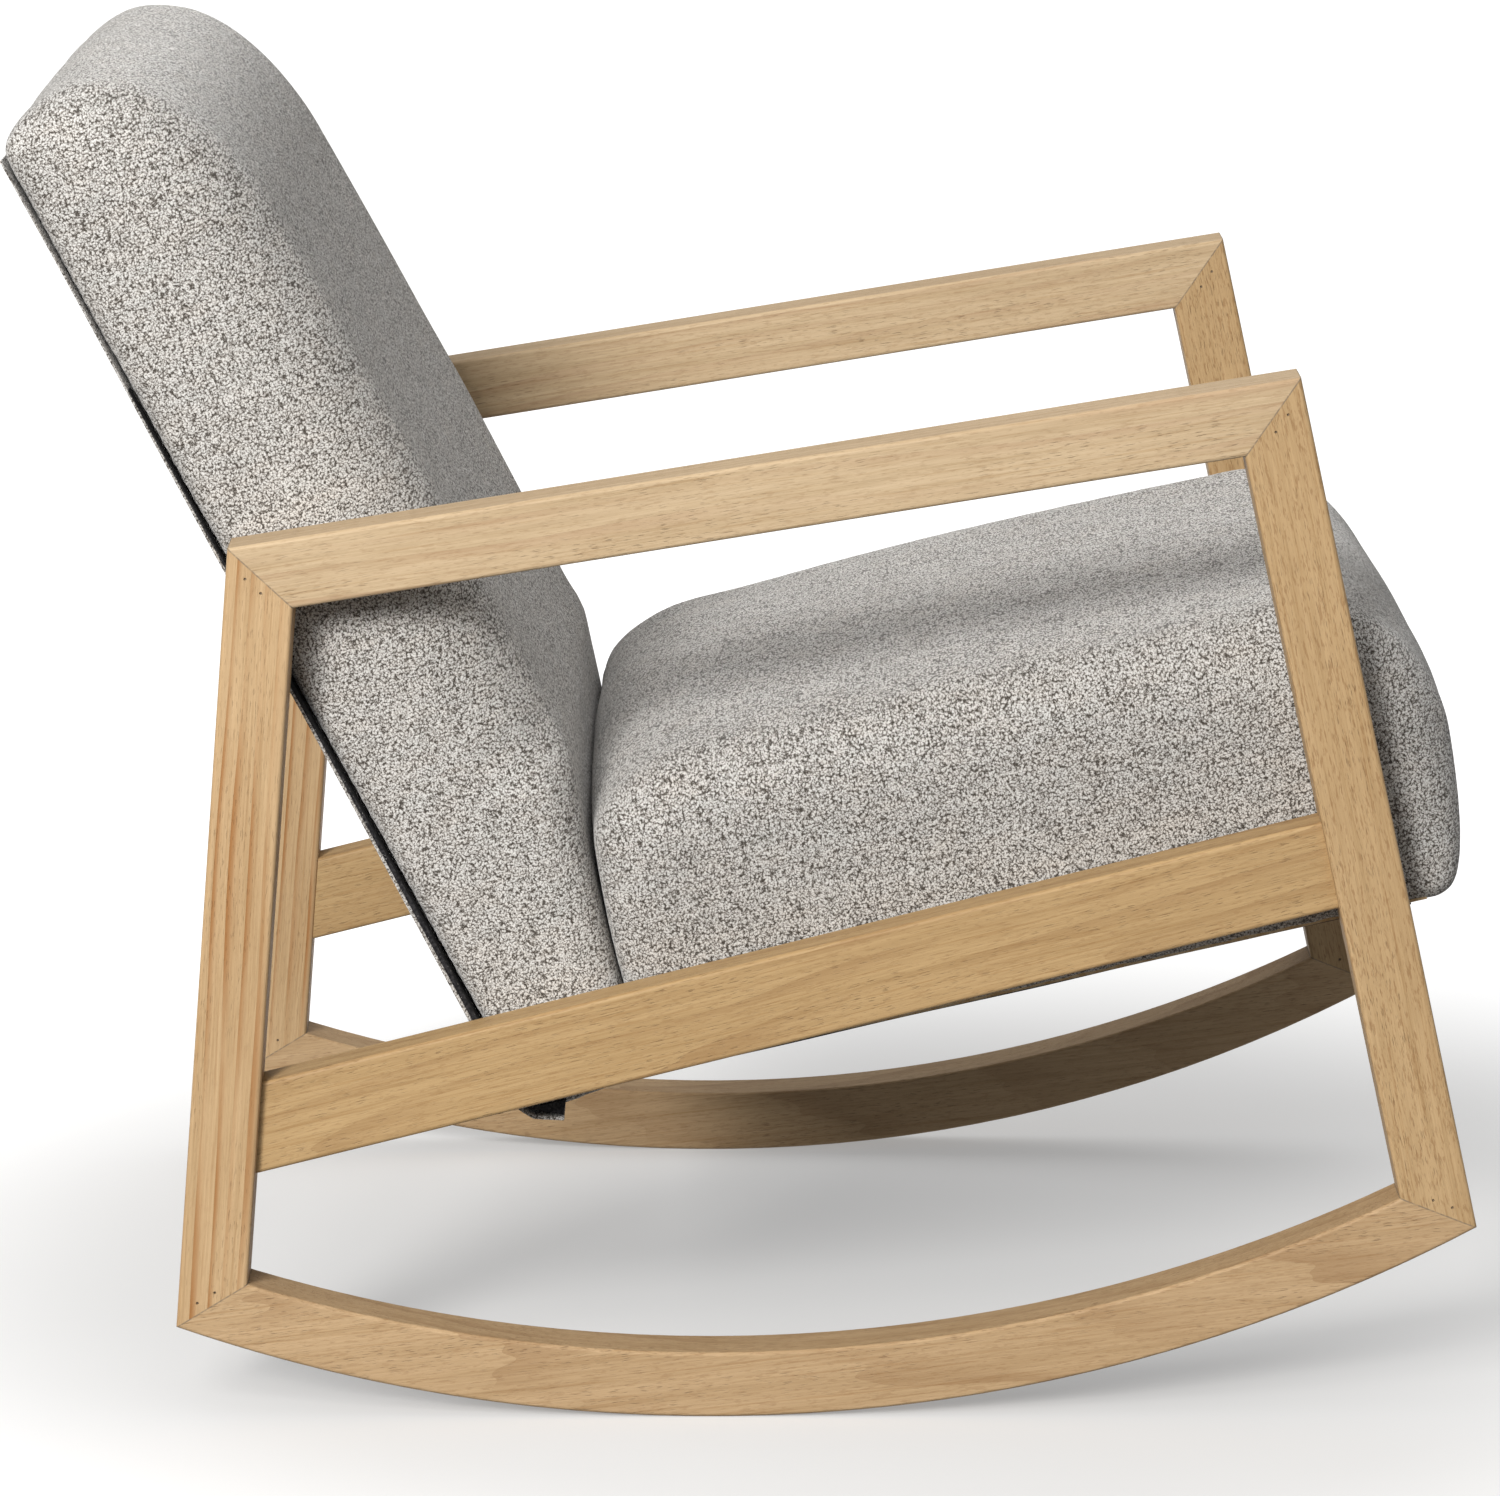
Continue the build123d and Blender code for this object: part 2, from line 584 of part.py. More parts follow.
BACK_HEM = 10.0  # the cover's rear edges lap this far over the frame's ends
with BuildPart() as back_cover:
    with BuildSketch(side_plane(COVER_HALF_WIDTH, BACK_RECLINE)):
        back_outline(0)
    extrude(amount=2 * COVER_HALF_WIDTH)
    hollow_half = COVER_HALF_WIDTH - FABRIC
    with BuildSketch(side_plane(hollow_half, BACK_RECLINE)):
        back_outline(FABRIC)
        # The cover is open at the rear, where the panel closes it.
        with Locations((BACK_REAR, (BACK_FRAME_BOTTOM + BACK_FRAME_TOP) / 2)):
            Rectangle(4 * FABRIC, BACK_FRAME_TOP - BACK_FRAME_BOTTOM - 2 * BACK_HEM)
    extrude(amount=2 * hollow_half, mode=Mode.SUBTRACT)
    for side in SIDES:
        cut_bolt_holes(side, BACK_BOLTS, COVER_HALF_WIDTH - 2 * FABRIC, COVER_HALF_WIDTH)
write(back_cover, "back_cover")

BACK_STRAPS_FRONT = BACK_FRAME_FRONT + 2 * (STRAP_GAP + STRAP)
with BuildPart() as back_foam:
    with BuildSketch(side_plane(INNER_HALF_WIDTH, BACK_RECLINE)):
        back_outline(INSET)
        frame_side = (BACK_STRAPS_FRONT + STRAP_GAP, BACK_FRAME_TOP + CLEAR)
        with Locations((frame_side[0] - AMPLE / 2, frame_side[1] - AMPLE / 2)):
            Rectangle(AMPLE, AMPLE, mode=Mode.SUBTRACT)
    extrude(amount=2 * INNER_HALF_WIDTH)
write(back_foam, "back_foam")

for side in SIDES:
    with BuildPart() as back_stile:
        low = (BACK_FRAME_REAR, BACK_FRAME_BOTTOM)
        high = (BACK_FRAME_FRONT, BACK_FRAME_TOP)
        corner_box(layer(side, BOARD_INNER_X, BOARD_OUTER_X, BACK_RECLINE), low, high, BOARD)
        cut_bolt_holes(side, BACK_BOLTS, BOARD_INNER_X, BOARD_OUTER_X)
    write(back_stile, f"back_{side}_stile")

BACK_RAIL_HEIGHT = 40.0
BACK_RAILS = {
    "bottom": 252.0,  # clear of the bolts into the seat rails
    "middle": 500.0,
    "top": BACK_FRAME_TOP - BACK_RAIL_HEIGHT,
}
for name, foot in BACK_RAILS.items():
    with BuildPart() as back_rail:
        low = (BACK_FRAME_REAR, foot)
        high = (BACK_FRAME_FRONT, foot + BACK_RAIL_HEIGHT)
        corner_box(side_plane(BOARD_INNER_X, BACK_RECLINE), low, high, 2 * BOARD_INNER_X)
    write(back_rail, f"back_{name}_rail")

BACK_STRAP_PITCH = 90.0
BACK_UPRIGHT_STRAP_PITCH = 106.0
with BuildPart() as back_webbing:
    cross_plane = side_plane(STRAP_HALF, BACK_RECLINE)
    cross_rear = BACK_FRAME_FRONT + STRAP_GAP
    back_middle = (BACK_FRAME_BOTTOM + BACK_FRAME_TOP) / 2
    for step in (-2.5, -1.5, -0.5, 0.5, 1.5, 2.5):
        middle = back_middle + step * BACK_STRAP_PITCH
        low = (cross_rear, middle - BACK_STRAP_WIDTH / 2)
        high = (cross_rear + STRAP, middle + BACK_STRAP_WIDTH / 2)
        corner_box(cross_plane, low, high, 2 * STRAP_HALF)
    long_rear = cross_rear + STRAP + STRAP_GAP
    low = (long_rear, BACK_FRAME_BOTTOM + STRAP_END)
    high = (long_rear + STRAP, BACK_FRAME_TOP - STRAP_END)
    for step in (-1.5, -0.5, 0.5, 1.5):
        plane = side_plane(step * BACK_UPRIGHT_STRAP_PITCH + BACK_STRAP_WIDTH / 2, BACK_RECLINE)
        corner_box(plane, low, high, BACK_STRAP_WIDTH)
write(back_webbing, "back_webbing")

# The rear panel lies flat on the back above PANEL_FLAT_FROM and stands off more and more below it.
PANEL_TOP = BACK_TOP - BACK_REAR_RADIUS
PANEL_FLAT_FROM = 710.0
PANEL_INNER_REST = BACK_REAR - 0.1
PANEL_INNER_FOOT = BACK_REAR - 3.9
PANEL_FOOT = 210.0
PANEL_RETURN = (3.0, 189.5)  # the panel folds forward under the back and ends here
PANEL_EDGE = 0.8  # thickness at the top
PANEL_FOLD = 1.6  # where it starts to stand off
PANEL_HEM = 3.0  # where it folds under
with BuildPart() as back_rear_panel:
    with BuildSketch(side_plane(COVER_HALF_WIDTH, BACK_RECLINE)):
        with BuildLine():
            Polyline(
                (PANEL_INNER_REST, PANEL_TOP),
                (PANEL_INNER_REST, PANEL_FLAT_FROM),
                (PANEL_INNER_FOOT, PANEL_FOOT),
                (PANEL_RETURN[0], PANEL_RETURN[1] + PANEL_HEM),
                PANEL_RETURN,
                (PANEL_INNER_FOOT - PANEL_HEM, PANEL_FOOT - PANEL_FOLD),
                (PANEL_INNER_REST - PANEL_FOLD, PANEL_FLAT_FROM),
                (PANEL_INNER_REST - PANEL_EDGE, PANEL_TOP),
                close=True,
            )
        make_face()
    extrude(amount=2 * COVER_HALF_WIDTH)
write(back_rear_panel, "back_rear_panel")

TAPE_WIDTH = 12.0
TAPE_CLEAR = 0.1
TAPE_TOP = PANEL_FLAT_FROM - 25.0
TAPE_RETURN = 6.0  # the tape laps this far past the panel's end, under the back
tape_corner = BACK_REAR + BACK_FOOT_CHAMFER
tape_end = PANEL_RETURN[0] + TAPE_RETURN
with BuildPart() as back_closure_tape:
    for side in SIDES:
        tape_plane = layer(side, COVER_HALF_WIDTH - TAPE_WIDTH, COVER_HALF_WIDTH, BACK_RECLINE)
        with BuildSketch(tape_plane):
            with BuildLine():
                Polyline(
                    (BACK_REAR - TAPE_CLEAR, TAPE_TOP),
                    (PANEL_INNER_FOOT + TAPE_CLEAR, PANEL_FOOT + 2 * TAPE_CLEAR),
                    (PANEL_RETURN[0], PANEL_RETURN[1] + PANEL_HEM + 4 * TAPE_CLEAR),
                    (tape_end, back_foot(tape_end) - 4 * TAPE_CLEAR),
                    (tape_corner, back_foot(tape_corner) - 4 * TAPE_CLEAR),
                    (BACK_REAR - TAPE_CLEAR, back_foot(BACK_REAR) + BACK_FOOT_CHAMFER),
                    close=True,
                )
            make_face()
        extrude(amount=TAPE_WIDTH)
write(back_closure_tape, "back_closure_tape")


# ---------------------------------------------------------------- bolts between units and frames
SOCKET_RADIUS = 2.2
SOCKET_DEPTH = 2.7
BOLT_SEAT_X = BOARD_INNER_X - WASHER
for unit, points in (("seat", SEAT_BOLTS), ("back", BACK_BOLTS)):
    with BuildPart() as bolts:
        for side in SIDES:
            with BuildSketch(layer(side, BOLT_SEAT_X, BOLT_SEAT_X + BOLT_LENGTH)):
                with Locations(*points):
                    Circle(BOLT_RADIUS)
            extrude(amount=BOLT_LENGTH)
            with BuildSketch(layer(side, BOLT_SEAT_X - BOLT_HEAD, BOLT_SEAT_X)):
                with Locations(*points):
                    Circle(BOLT_HEAD_RADIUS)
            extrude(amount=BOLT_HEAD)
            socket_end = BOLT_SEAT_X - BOLT_HEAD + SOCKET_DEPTH
            with BuildSketch(layer(side, BOLT_SEAT_X - BOLT_HEAD, socket_end)):
                with Locations(*points):
                    RegularPolygon(SOCKET_RADIUS, 6)
            extrude(amount=SOCKET_DEPTH, mode=Mode.SUBTRACT)
    write(bolts, f"{unit}_bolts")

    with BuildPart() as washers:
        for side in SIDES:
            with BuildSketch(layer(side, BOLT_SEAT_X, BOARD_INNER_X)):
                with Locations(*points):
                    Circle(WASHER_RADIUS)
                    Circle(BOLT_HOLE_RADIUS, mode=Mode.SUBTRACT)
            extrude(amount=WASHER)
    write(washers, f"{unit}_washers")

    with BuildPart() as inserts:
        for side in SIDES:
            with BuildSketch(layer(side, INSERT_END_X - INSERT_LENGTH, INSERT_END_X)):
                with Locations(*points):
                    Circle(INSERT_RADIUS)
                    Circle(BOLT_RADIUS + FIT, mode=Mode.SUBTRACT)
            extrude(amount=INSERT_LENGTH)
    write(inserts, f"{unit}_inserts")
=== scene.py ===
"""Looks of the upholstered rocking chair: timber, fabric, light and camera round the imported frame.

Metres, +Z up. The chair faces -Y and its right side, as the sitter has it, is -X. Side views are
(forward, up) from the rocking point, where the rockers touch the floor.
"""
from math import cos, pi, radians, sin, sqrt

import bmesh
import bpy
import numpy as np
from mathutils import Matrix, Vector, noise


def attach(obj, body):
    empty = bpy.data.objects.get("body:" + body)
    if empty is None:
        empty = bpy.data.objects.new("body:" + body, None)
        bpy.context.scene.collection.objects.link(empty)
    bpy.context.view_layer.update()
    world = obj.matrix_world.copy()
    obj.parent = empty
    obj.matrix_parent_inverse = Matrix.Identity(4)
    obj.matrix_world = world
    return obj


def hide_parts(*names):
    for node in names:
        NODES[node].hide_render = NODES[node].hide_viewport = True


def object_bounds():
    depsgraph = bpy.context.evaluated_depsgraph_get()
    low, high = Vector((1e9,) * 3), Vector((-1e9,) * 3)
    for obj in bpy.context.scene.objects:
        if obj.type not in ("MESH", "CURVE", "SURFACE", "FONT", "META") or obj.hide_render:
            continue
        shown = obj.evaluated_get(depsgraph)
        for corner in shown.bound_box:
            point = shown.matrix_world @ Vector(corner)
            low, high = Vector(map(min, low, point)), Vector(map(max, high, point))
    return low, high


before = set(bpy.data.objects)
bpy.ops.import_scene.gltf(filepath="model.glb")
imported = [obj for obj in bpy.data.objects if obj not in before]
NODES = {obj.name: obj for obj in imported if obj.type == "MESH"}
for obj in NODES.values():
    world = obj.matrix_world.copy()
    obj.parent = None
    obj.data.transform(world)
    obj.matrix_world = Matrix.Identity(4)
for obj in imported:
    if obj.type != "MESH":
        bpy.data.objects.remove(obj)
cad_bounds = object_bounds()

SIDES = ("right", "left")
SCENE = bpy.context.scene

# ---------------------------------------------------------------- sizes shared with the CAD source
ROCKING_POINT_Y = 0.0192
FRAME_INNER_X = 0.274

# Each straight timber edge is (slope in degrees, distance from the rocking point).
ARM_TOP = (9.1, 0.551)
ARM_UNDERSIDE = (9.1, 0.511)
POST_REAR = (85.4, 0.3155)
POST_FRONT = (85.4, 0.276)
LEG_FRONT = (-77.5, 0.456)
LEG_REAR = (-77.5, 0.416)
SEAT_SLOPE = 14.1
ROCKER_RADIUS = 0.917
ROCKER_TOP_RADIUS = 0.901
ROCKER_TOP_CENTRE = 0.940
BACK_RECLINE = 27.9


def on_slope(slope, along, across):
    """(forward, up) of a point given along and across a slope."""
    angle = radians(slope)
    return (along * cos(angle) - across * sin(angle), along * sin(angle) + across * cos(angle))


def meet(first, second):
    """Point where two edge lines cross."""
    a, b = radians(first[0]), radians(second[0])
    turn = sin(b - a)
    forward = (first[1] * cos(b) - second[1] * cos(a)) / turn
    up = (first[1] * sin(b) - second[1] * sin(a)) / turn
    return (forward, up)


def meet_arc(line, centre_height, radius):
    """Lower point where an edge line crosses an arc centred above the rocking point."""
    angle = radians(line[0])
    forward, up = on_slope(line[0], 0, line[1])
    up -= centre_height
    nearest = forward * cos(angle) + up * sin(angle)
    reach = sqrt(nearest**2 - forward**2 - up**2 + radius**2)
    points = [on_slope(line[0], along, line[1]) for along in (-nearest - reach, -nearest + reach)]
    return min(points, key=lambda point: point[1])


# The frame's corners, each an (inner, outer) pair that spans a mitre.
REAR_TOP = (meet(ARM_UNDERSIDE, POST_FRONT), meet(ARM_TOP, POST_REAR))
FRONT_TOP = (meet(ARM_UNDERSIDE, LEG_REAR), meet(ARM_TOP, LEG_FRONT))
REAR_FOOT = (
    meet_arc(POST_FRONT, ROCKER_TOP_CENTRE, ROCKER_TOP_RADIUS),
    meet_arc(POST_REAR, ROCKER_RADIUS, ROCKER_RADIUS),
)
FRONT_FOOT = (
    meet_arc(LEG_REAR, ROCKER_TOP_CENTRE, ROCKER_TOP_RADIUS),
    meet_arc(LEG_FRONT, ROCKER_RADIUS, ROCKER_RADIUS),
)


def in_row(x, slope, along, across):
    """A point of a sloped side section at x, as a point of the chair."""
    forward, up = on_slope(slope, along, across)
    return Vector((x, ROCKING_POINT_Y - forward, up))


# ---------------------------------------------------------------- node materials
class Shader:
    """A procedural material while it is built. Each method adds a node and returns its output."""

    def __init__(self, name, roughness, specular):
        self.material = bpy.data.materials.new(name)
        self.material.use_nodes = True
        self.tree = self.material.node_tree
        self.surface = self.tree.nodes["Principled BSDF"]
        self.surface.inputs["Roughness"].default_value = roughness
        self.surface.inputs["Specular IOR Level"].default_value = specular

    def node(self, kind, inputs, **settings):
        """Adds a node; inputs maps a socket's name or number to a value or a node's output."""
        made = self.tree.nodes.new("ShaderNode" + kind)
        for name, value in settings.items():
            setattr(made, name, value)
        for socket, value in inputs.items():
            if isinstance(value, bpy.types.NodeSocket):
                self.tree.links.new(value, made.inputs[socket])
            elif value is not None:
                made.inputs[socket].default_value = value
        return made

    def place(self, rotation=(0, 0, 0), scale=(1, 1, 1), offset=(0, 0, 0)):
        """The point being shaded, scaled, turned and shifted."""
        point = self.node("TexCoord", {}).outputs["Object"]
        return self.moved(point, rotation, scale, offset)

    def moved(self, point, rotation=(0, 0, 0), scale=(1, 1, 1), offset=(0, 0, 0)):
        inputs = {"Vector": point, "Rotation": rotation, "Scale": scale, "Location": offset}
        return self.node("Mapping", inputs).outputs["Vector"]

    def noise(self, point, scale, detail=2.0, roughness=0.5, colour=False):
        inputs = {"Vector": point, "Scale": scale, "Detail": detail, "Roughness": roughness}
        return self.node("TexNoise", inputs).outputs["Color" if colour else "Fac"]

    def cells(self, point, scale):
        """Distance from the middle of the nearest of many scattered cells."""
        return self.node("TexVoronoi", {"Vector": point, "Scale": scale}).outputs["Distance"]

    def math(self, operation, first, second=None):
        return self.node("Math", {0: first, 1: second}, operation=operation).outputs[0]

    def vector(self, operation, first, second=None):
        made = self.node("VectorMath", {0: first, 1: second}, operation=operation)
        return made.outputs["Value" if operation in ("DOT_PRODUCT", "LENGTH") else "Vector"]

    def span(self, value, low, high, to_low=0.0, to_high=1.0):
        """Maps low..high to to_low..to_high, clamped and eased."""
        inputs = {"Value": value, 1: low, 2: high, 3: to_low, 4: to_high}
        made = self.node("MapRange", inputs, interpolation_type="SMOOTHSTEP")
        return made.outputs["Result"]

    def ramp(self, value, *stops):
        """Colour ramp; each stop is (position, red, green, blue)."""
        made = self.node("ValToRGB", {"Fac": value})
        elements = made.color_ramp.elements
        while len(elements) < len(stops):
            elements.new(0.5)
        for element, (position, *colour) in zip(elements, stops):
            element.position = position
            element.color = (*colour, 1)
        return made.outputs["Color"]

    def mix(self, amount, first, second, blend="MIX"):
        """Colour mix; a colour is an output or (red, green, blue)."""
        made = self.node("Mix", {0: amount}, data_type="RGBA", blend_type=blend)
        for socket, colour in (("A", first), ("B", second)):
            target = next(i for i in made.inputs if i.name == socket and i.type == "RGBA")
            if isinstance(colour, bpy.types.NodeSocket):
                self.tree.links.new(colour, target)
            else:
                target.default_value = (*colour, 1)
        return next(o for o in made.outputs if o.type == "RGBA")

    def bump(self, height, distance, strength):
        inputs = {"Height": height, "Distance": distance, "Strength": strength}
        return self.node("Bump", inputs).outputs["Normal"]

    def set(self, **links):
        """Links outputs to the surface's sockets, named in lower case with underscores."""
        for name, output in links.items():
            socket = self.surface.inputs[name.replace("_", " ").title()]
            self.tree.links.new(output, socket)


def paint(piece, material):
    piece.data.materials.clear()
    piece.data.materials.append(material)


# ---------------------------------------------------------------- timber
LIGHT_OAK = (0.61, 0.435, 0.255)
MID_OAK = (0.49, 0.335, 0.180)
DARK_OAK = (0.32, 0.180, 0.080)
RED_OAK = (0.41, 0.235, 0.125)
ORANGE_OAK = (0.37, 0.175, 0.058)
PORE = (0.15, 0.085, 0.040)
GRAIN_WANDER = 0.006
RING_SPREAD = 0.9  # how unevenly the rings are spaced, in rings
GLUE_LINE = (0.20, 0.155, 0.105)
GLUE_HALF_WIDTH = 0.00038
TIMBER_RELIEF = 0.00025

# Marks of the wood: (cells to a metre across the grain, share of that along it).
SPREAD_MARKS = (55, 0.05)
UNEVEN_MARKS = (40, 0.16)
FIBRE_MARKS = (1000, 0.022)
STREAK_MARKS = (160, 0.03)
LINE_MARKS = (560, 0.013)
DASH_MARKS = (760, 0.15)
PORE_MARKS = (1500, 0.08)
CLUSTER_MARKS = (60, 0.1)
PATCH_MARKS = (7, 0.3)


def glue_line(shader, mitre):
    """1 on the thin line where a mitre's faces meet, 0 elsewhere."""
    (f0, u0), (f1, u1) = mitre
    length = sqrt((f1 - f0) ** 2 + (u1 - u0) ** 2)
    across_f, across_u = (u1 - u0) / length, (f0 - f1) / length
    offset = across_f * (ROCKING_POINT_Y - f0) - across_u * u0
    distance = shader.vector("DOT_PRODUCT", shader.place(), (0, -across_f, across_u))
    distance = shader.math("ABSOLUTE", shader.math("ADD", distance, offset))
    return shader.span(distance, 0.4 * GLUE_HALF_WIDTH, 1.6 * GLUE_HALF_WIDTH, 1, 0)


def timber(
    name, slope, mitres, heart, ring, contrast, tone, taper, offset, flecks=0.3, late=DARK_OAK
):
    """Oak with straight grain along a slope.

    heart is the tree's centre, (through, across) from the board's own zero; ring is the spacing of
    the growth rings; taper tips them against the board, which draws the arched figure. contrast is
    how much the late wood stands out, late is its colour, and flecks is how strong the dashes are.
    """
    shader = Shader(name, roughness=0.5, specular=0.25)

    def marks(place, size, detail, roughness=0.5):
        cells, along = size
        return shader.noise(shader.moved(place, scale=(1, along, 1)), cells, detail, roughness)

    along_y = shader.place(rotation=(radians(slope), 0, 0), offset=offset)
    bend = shader.noise(shader.moved(along_y, scale=(6, 1.3, 6)), 1.6, 2.0, 0.5, colour=True)
    bend = shader.vector("SUBTRACT", bend, (0.5, 0.5, 0.5))
    bend = shader.vector("MULTIPLY", bend, (2 * GRAIN_WANDER, 0, 2 * GRAIN_WANDER))
    warped = shader.vector("ADD", along_y, bend)

    from_heart = shader.vector("SUBTRACT", warped, (heart[0], 0, heart[1]))
    from_heart = shader.vector("MULTIPLY", from_heart, (1, taper, 1))
    radius = shader.vector("LENGTH", from_heart)
    spread = marks(along_y, SPREAD_MARKS, 1.0)
    radius = shader.math("ADD", radius, shader.math("MULTIPLY", spread, ring * RING_SPREAD))
    phase = shader.math("FRACT", shader.math("DIVIDE", radius, ring))
    late_wood = shader.ramp(
        phase,
        (0.00, 0.10, 0.10, 0.10),
        (0.08, 0.00, 0.00, 0.00),
        (0.62, 0.15, 0.15, 0.15),
        (0.84, 0.80, 0.80, 0.80),
        (0.93, 1.00, 1.00, 1.00),
    )
    uneven = marks(along_y, UNEVEN_MARKS, 2.0)
    late_wood = shader.math("MULTIPLY", late_wood, shader.span(uneven, 0.3, 0.65, 0.15, 1.0))

    fibres = marks(warped, FIBRE_MARKS, 4.0, 0.7)
    streaks = marks(warped, STREAK_MARKS, 2.0)
    colour = shader.mix(shader.span(streaks, 0.25, 0.65, 0.45, 0.95), MID_OAK, LIGHT_OAK)
    fibre_shade = shader.ramp(fibres, (0.30, 0.80, 0.77, 0.73), (0.62, 1.04, 1.04, 1.04))
    colour = shader.mix(0.75, colour, fibre_shade, "MULTIPLY")
    lines = marks(warped, LINE_MARKS, 4.0, 0.72)
    line_shade = shader.ramp(
        lines, (0.36, 0.80, 0.73, 0.64), (0.45, 0.98, 0.98, 0.97), (0.62, 1.04, 1.05, 1.07)
    )
    colour = shader.mix(0.7, colour, line_shade, "MULTIPLY")
    colour = shader.mix(shader.math("MULTIPLY", late_wood, contrast), colour, late)

    dashes = shader.span(marks(along_y, DASH_MARKS, 2.5, 0.7), 0.53, 0.64)
    colour = shader.mix(shader.math("MULTIPLY", dashes, flecks), colour, DARK_OAK)
    pores = shader.span(marks(along_y, PORE_MARKS, 1.0), 0.60, 0.74)
    clusters = shader.span(marks(along_y, CLUSTER_MARKS, 2.0), 0.35, 0.6, 0.25, 1.0)
    pores = shader.math("MULTIPLY", pores, clusters)
    colour = shader.mix(shader.math("MULTIPLY", pores, min(0.45, 1.5 * flecks)), colour, PORE)

    patch_shade = shader.ramp(
        marks(along_y, PATCH_MARKS, 2.0),
        (0.30, 0.92 * tone[0], 0.90 * tone[1], 0.87 * tone[2]),
        (0.70, 1.05 * tone[0], 1.05 * tone[1], 1.06 * tone[2]),
    )
    colour = shader.mix(1.0, colour, patch_shade, "MULTIPLY")
    glue = [glue_line(shader, mitre) for mitre in mitres]
    if glue:
        joint = glue[0]
        for other in glue[1:]:
            joint = shader.math("MAXIMUM", joint, other)
        ragged = shader.noise(shader.place(), 420, 2.0)
        joint = shader.math("MULTIPLY", joint, shader.span(ragged, 0.25, 0.6, 0.25, 0.85))
        colour = shader.mix(joint, colour, GLUE_LINE)

    height = shader.math("SUBTRACT", shader.math("MULTIPLY", fibres, 0.35), pores)
    height = shader.math("SUBTRACT", height, shader.math("MULTIPLY", late_wood, 0.25))
    gloss = shader.span(fibres, 0.2, 0.8, 0.46, 0.58)
    gloss = shader.math("ADD", gloss, shader.math("MULTIPLY", pores, 0.2))
    relief = shader.bump(height, TIMBER_RELIEF, 0.8)
    shader.set(base_color=colour, roughness=gloss, normal=relief)
    return shader.material


# What sets one board of a side frame apart from the next.
BOARDS = {
    "arm": {
        "slope": ARM_TOP[0],
        "mitres": (REAR_TOP, FRONT_TOP),
        "heart": (0.11, 0.47),
        "ring": 0.0062,
        "contrast": 0.40,
        "tone": (0.90, 0.96, 1.04),
        "taper": 0.035,
        "late": RED_OAK,
    },
    "rear_post": {
        "slope": POST_REAR[0],
        "mitres": (REAR_TOP, REAR_FOOT),
        "heart": (0.02, 0.12),
        "ring": 0.0088,
        "contrast": 1.0,
        "tone": (0.88, 0.86, 0.82),
        "taper": 0.004,
        "flecks": 0.12,
        "late": ORANGE_OAK,
    },
    "front_leg": {
        "slope": LEG_FRONT[0],
        "mitres": (FRONT_TOP, FRONT_FOOT),
        "heart": (0.16, 0.40),
        "ring": 0.0105,
        "contrast": 0.22,
        "tone": (0.78, 0.745, 0.66),
        "taper": 0.01,
        "flecks": 0.56,
    },
    "seat_rail": {
        "slope": SEAT_SLOPE,
        "mitres": (),
        "heart": (0.03, 0.20),
        "ring": 0.0085,
        "contrast": 0.42,
        "tone": (0.78, 0.74, 0.62),
        "taper": 0.05,
    },
    "rocker": {
        "slope": 7.0,
        "mitres": (REAR_FOOT, FRONT_FOOT),
        "heart": (0.10, 0.07),
        "ring": 0.0115,
        "contrast": 0.40,
        "tone": (0.84, 0.82, 0.80),
        "taper": 0.10,
    },
}
MITRE_BEVEL = 0.0004
BEVEL_FROM = 28.0  # degrees between faces
WELD_REACH = 2e-5


def finish_timbers():
    """Oak on the ten boards of the side frames, with a hair-fine groove at each joint."""
    for side_number, side in enumerate(SIDES):
        flip = -1 if side == "right" else 1
        for number, (board, look) in enumerate(BOARDS.items()):
            look = dict(look)
            through, across = look.pop("heart")
            node = NODES[f"{side}_{board}"]
            offset = (0.0, 0.37 * number + 1.9 * side_number, 0.0)
            heart = (flip * (FRAME_INNER_X - through), across)
            material = timber(f"oak_{side}_{board}", heart=heart, offset=offset, **look)
            paint(node, material)
            soften_edges(node)


def soften_edges(node):
    """Welds a CAD node's seams and takes the sharpness off its edges, for the looks only."""
    weld = node.modifiers.new("weld", "WELD")
    weld.merge_threshold = WELD_REACH
    bevel = node.modifiers.new("bevel", "BEVEL")
    bevel.width = MITRE_BEVEL
    bevel.segments = 2
    bevel.limit_method = "ANGLE"
    bevel.angle_limit = radians(BEVEL_FROM)
    bevel.use_clamp_overlap = True
    normals = node.modifiers.new("normals", "WEIGHTED_NORMAL")
    normals.keep_sharp = False


# ---------------------------------------------------------------- woven cover
YARN_CELLS = 1450  # to a metre
LOOP_CELLS = 700
ROW_CELLS = 640
TINT_CELLS = 90
WANDER_CELLS = 90
YARN_SHARE, LOOP_SHARE, ROW_SHARE = 0.62, 0.36, 0.08
YARN_WANDER = 0.004
PILE_RELIEF = 0.0013


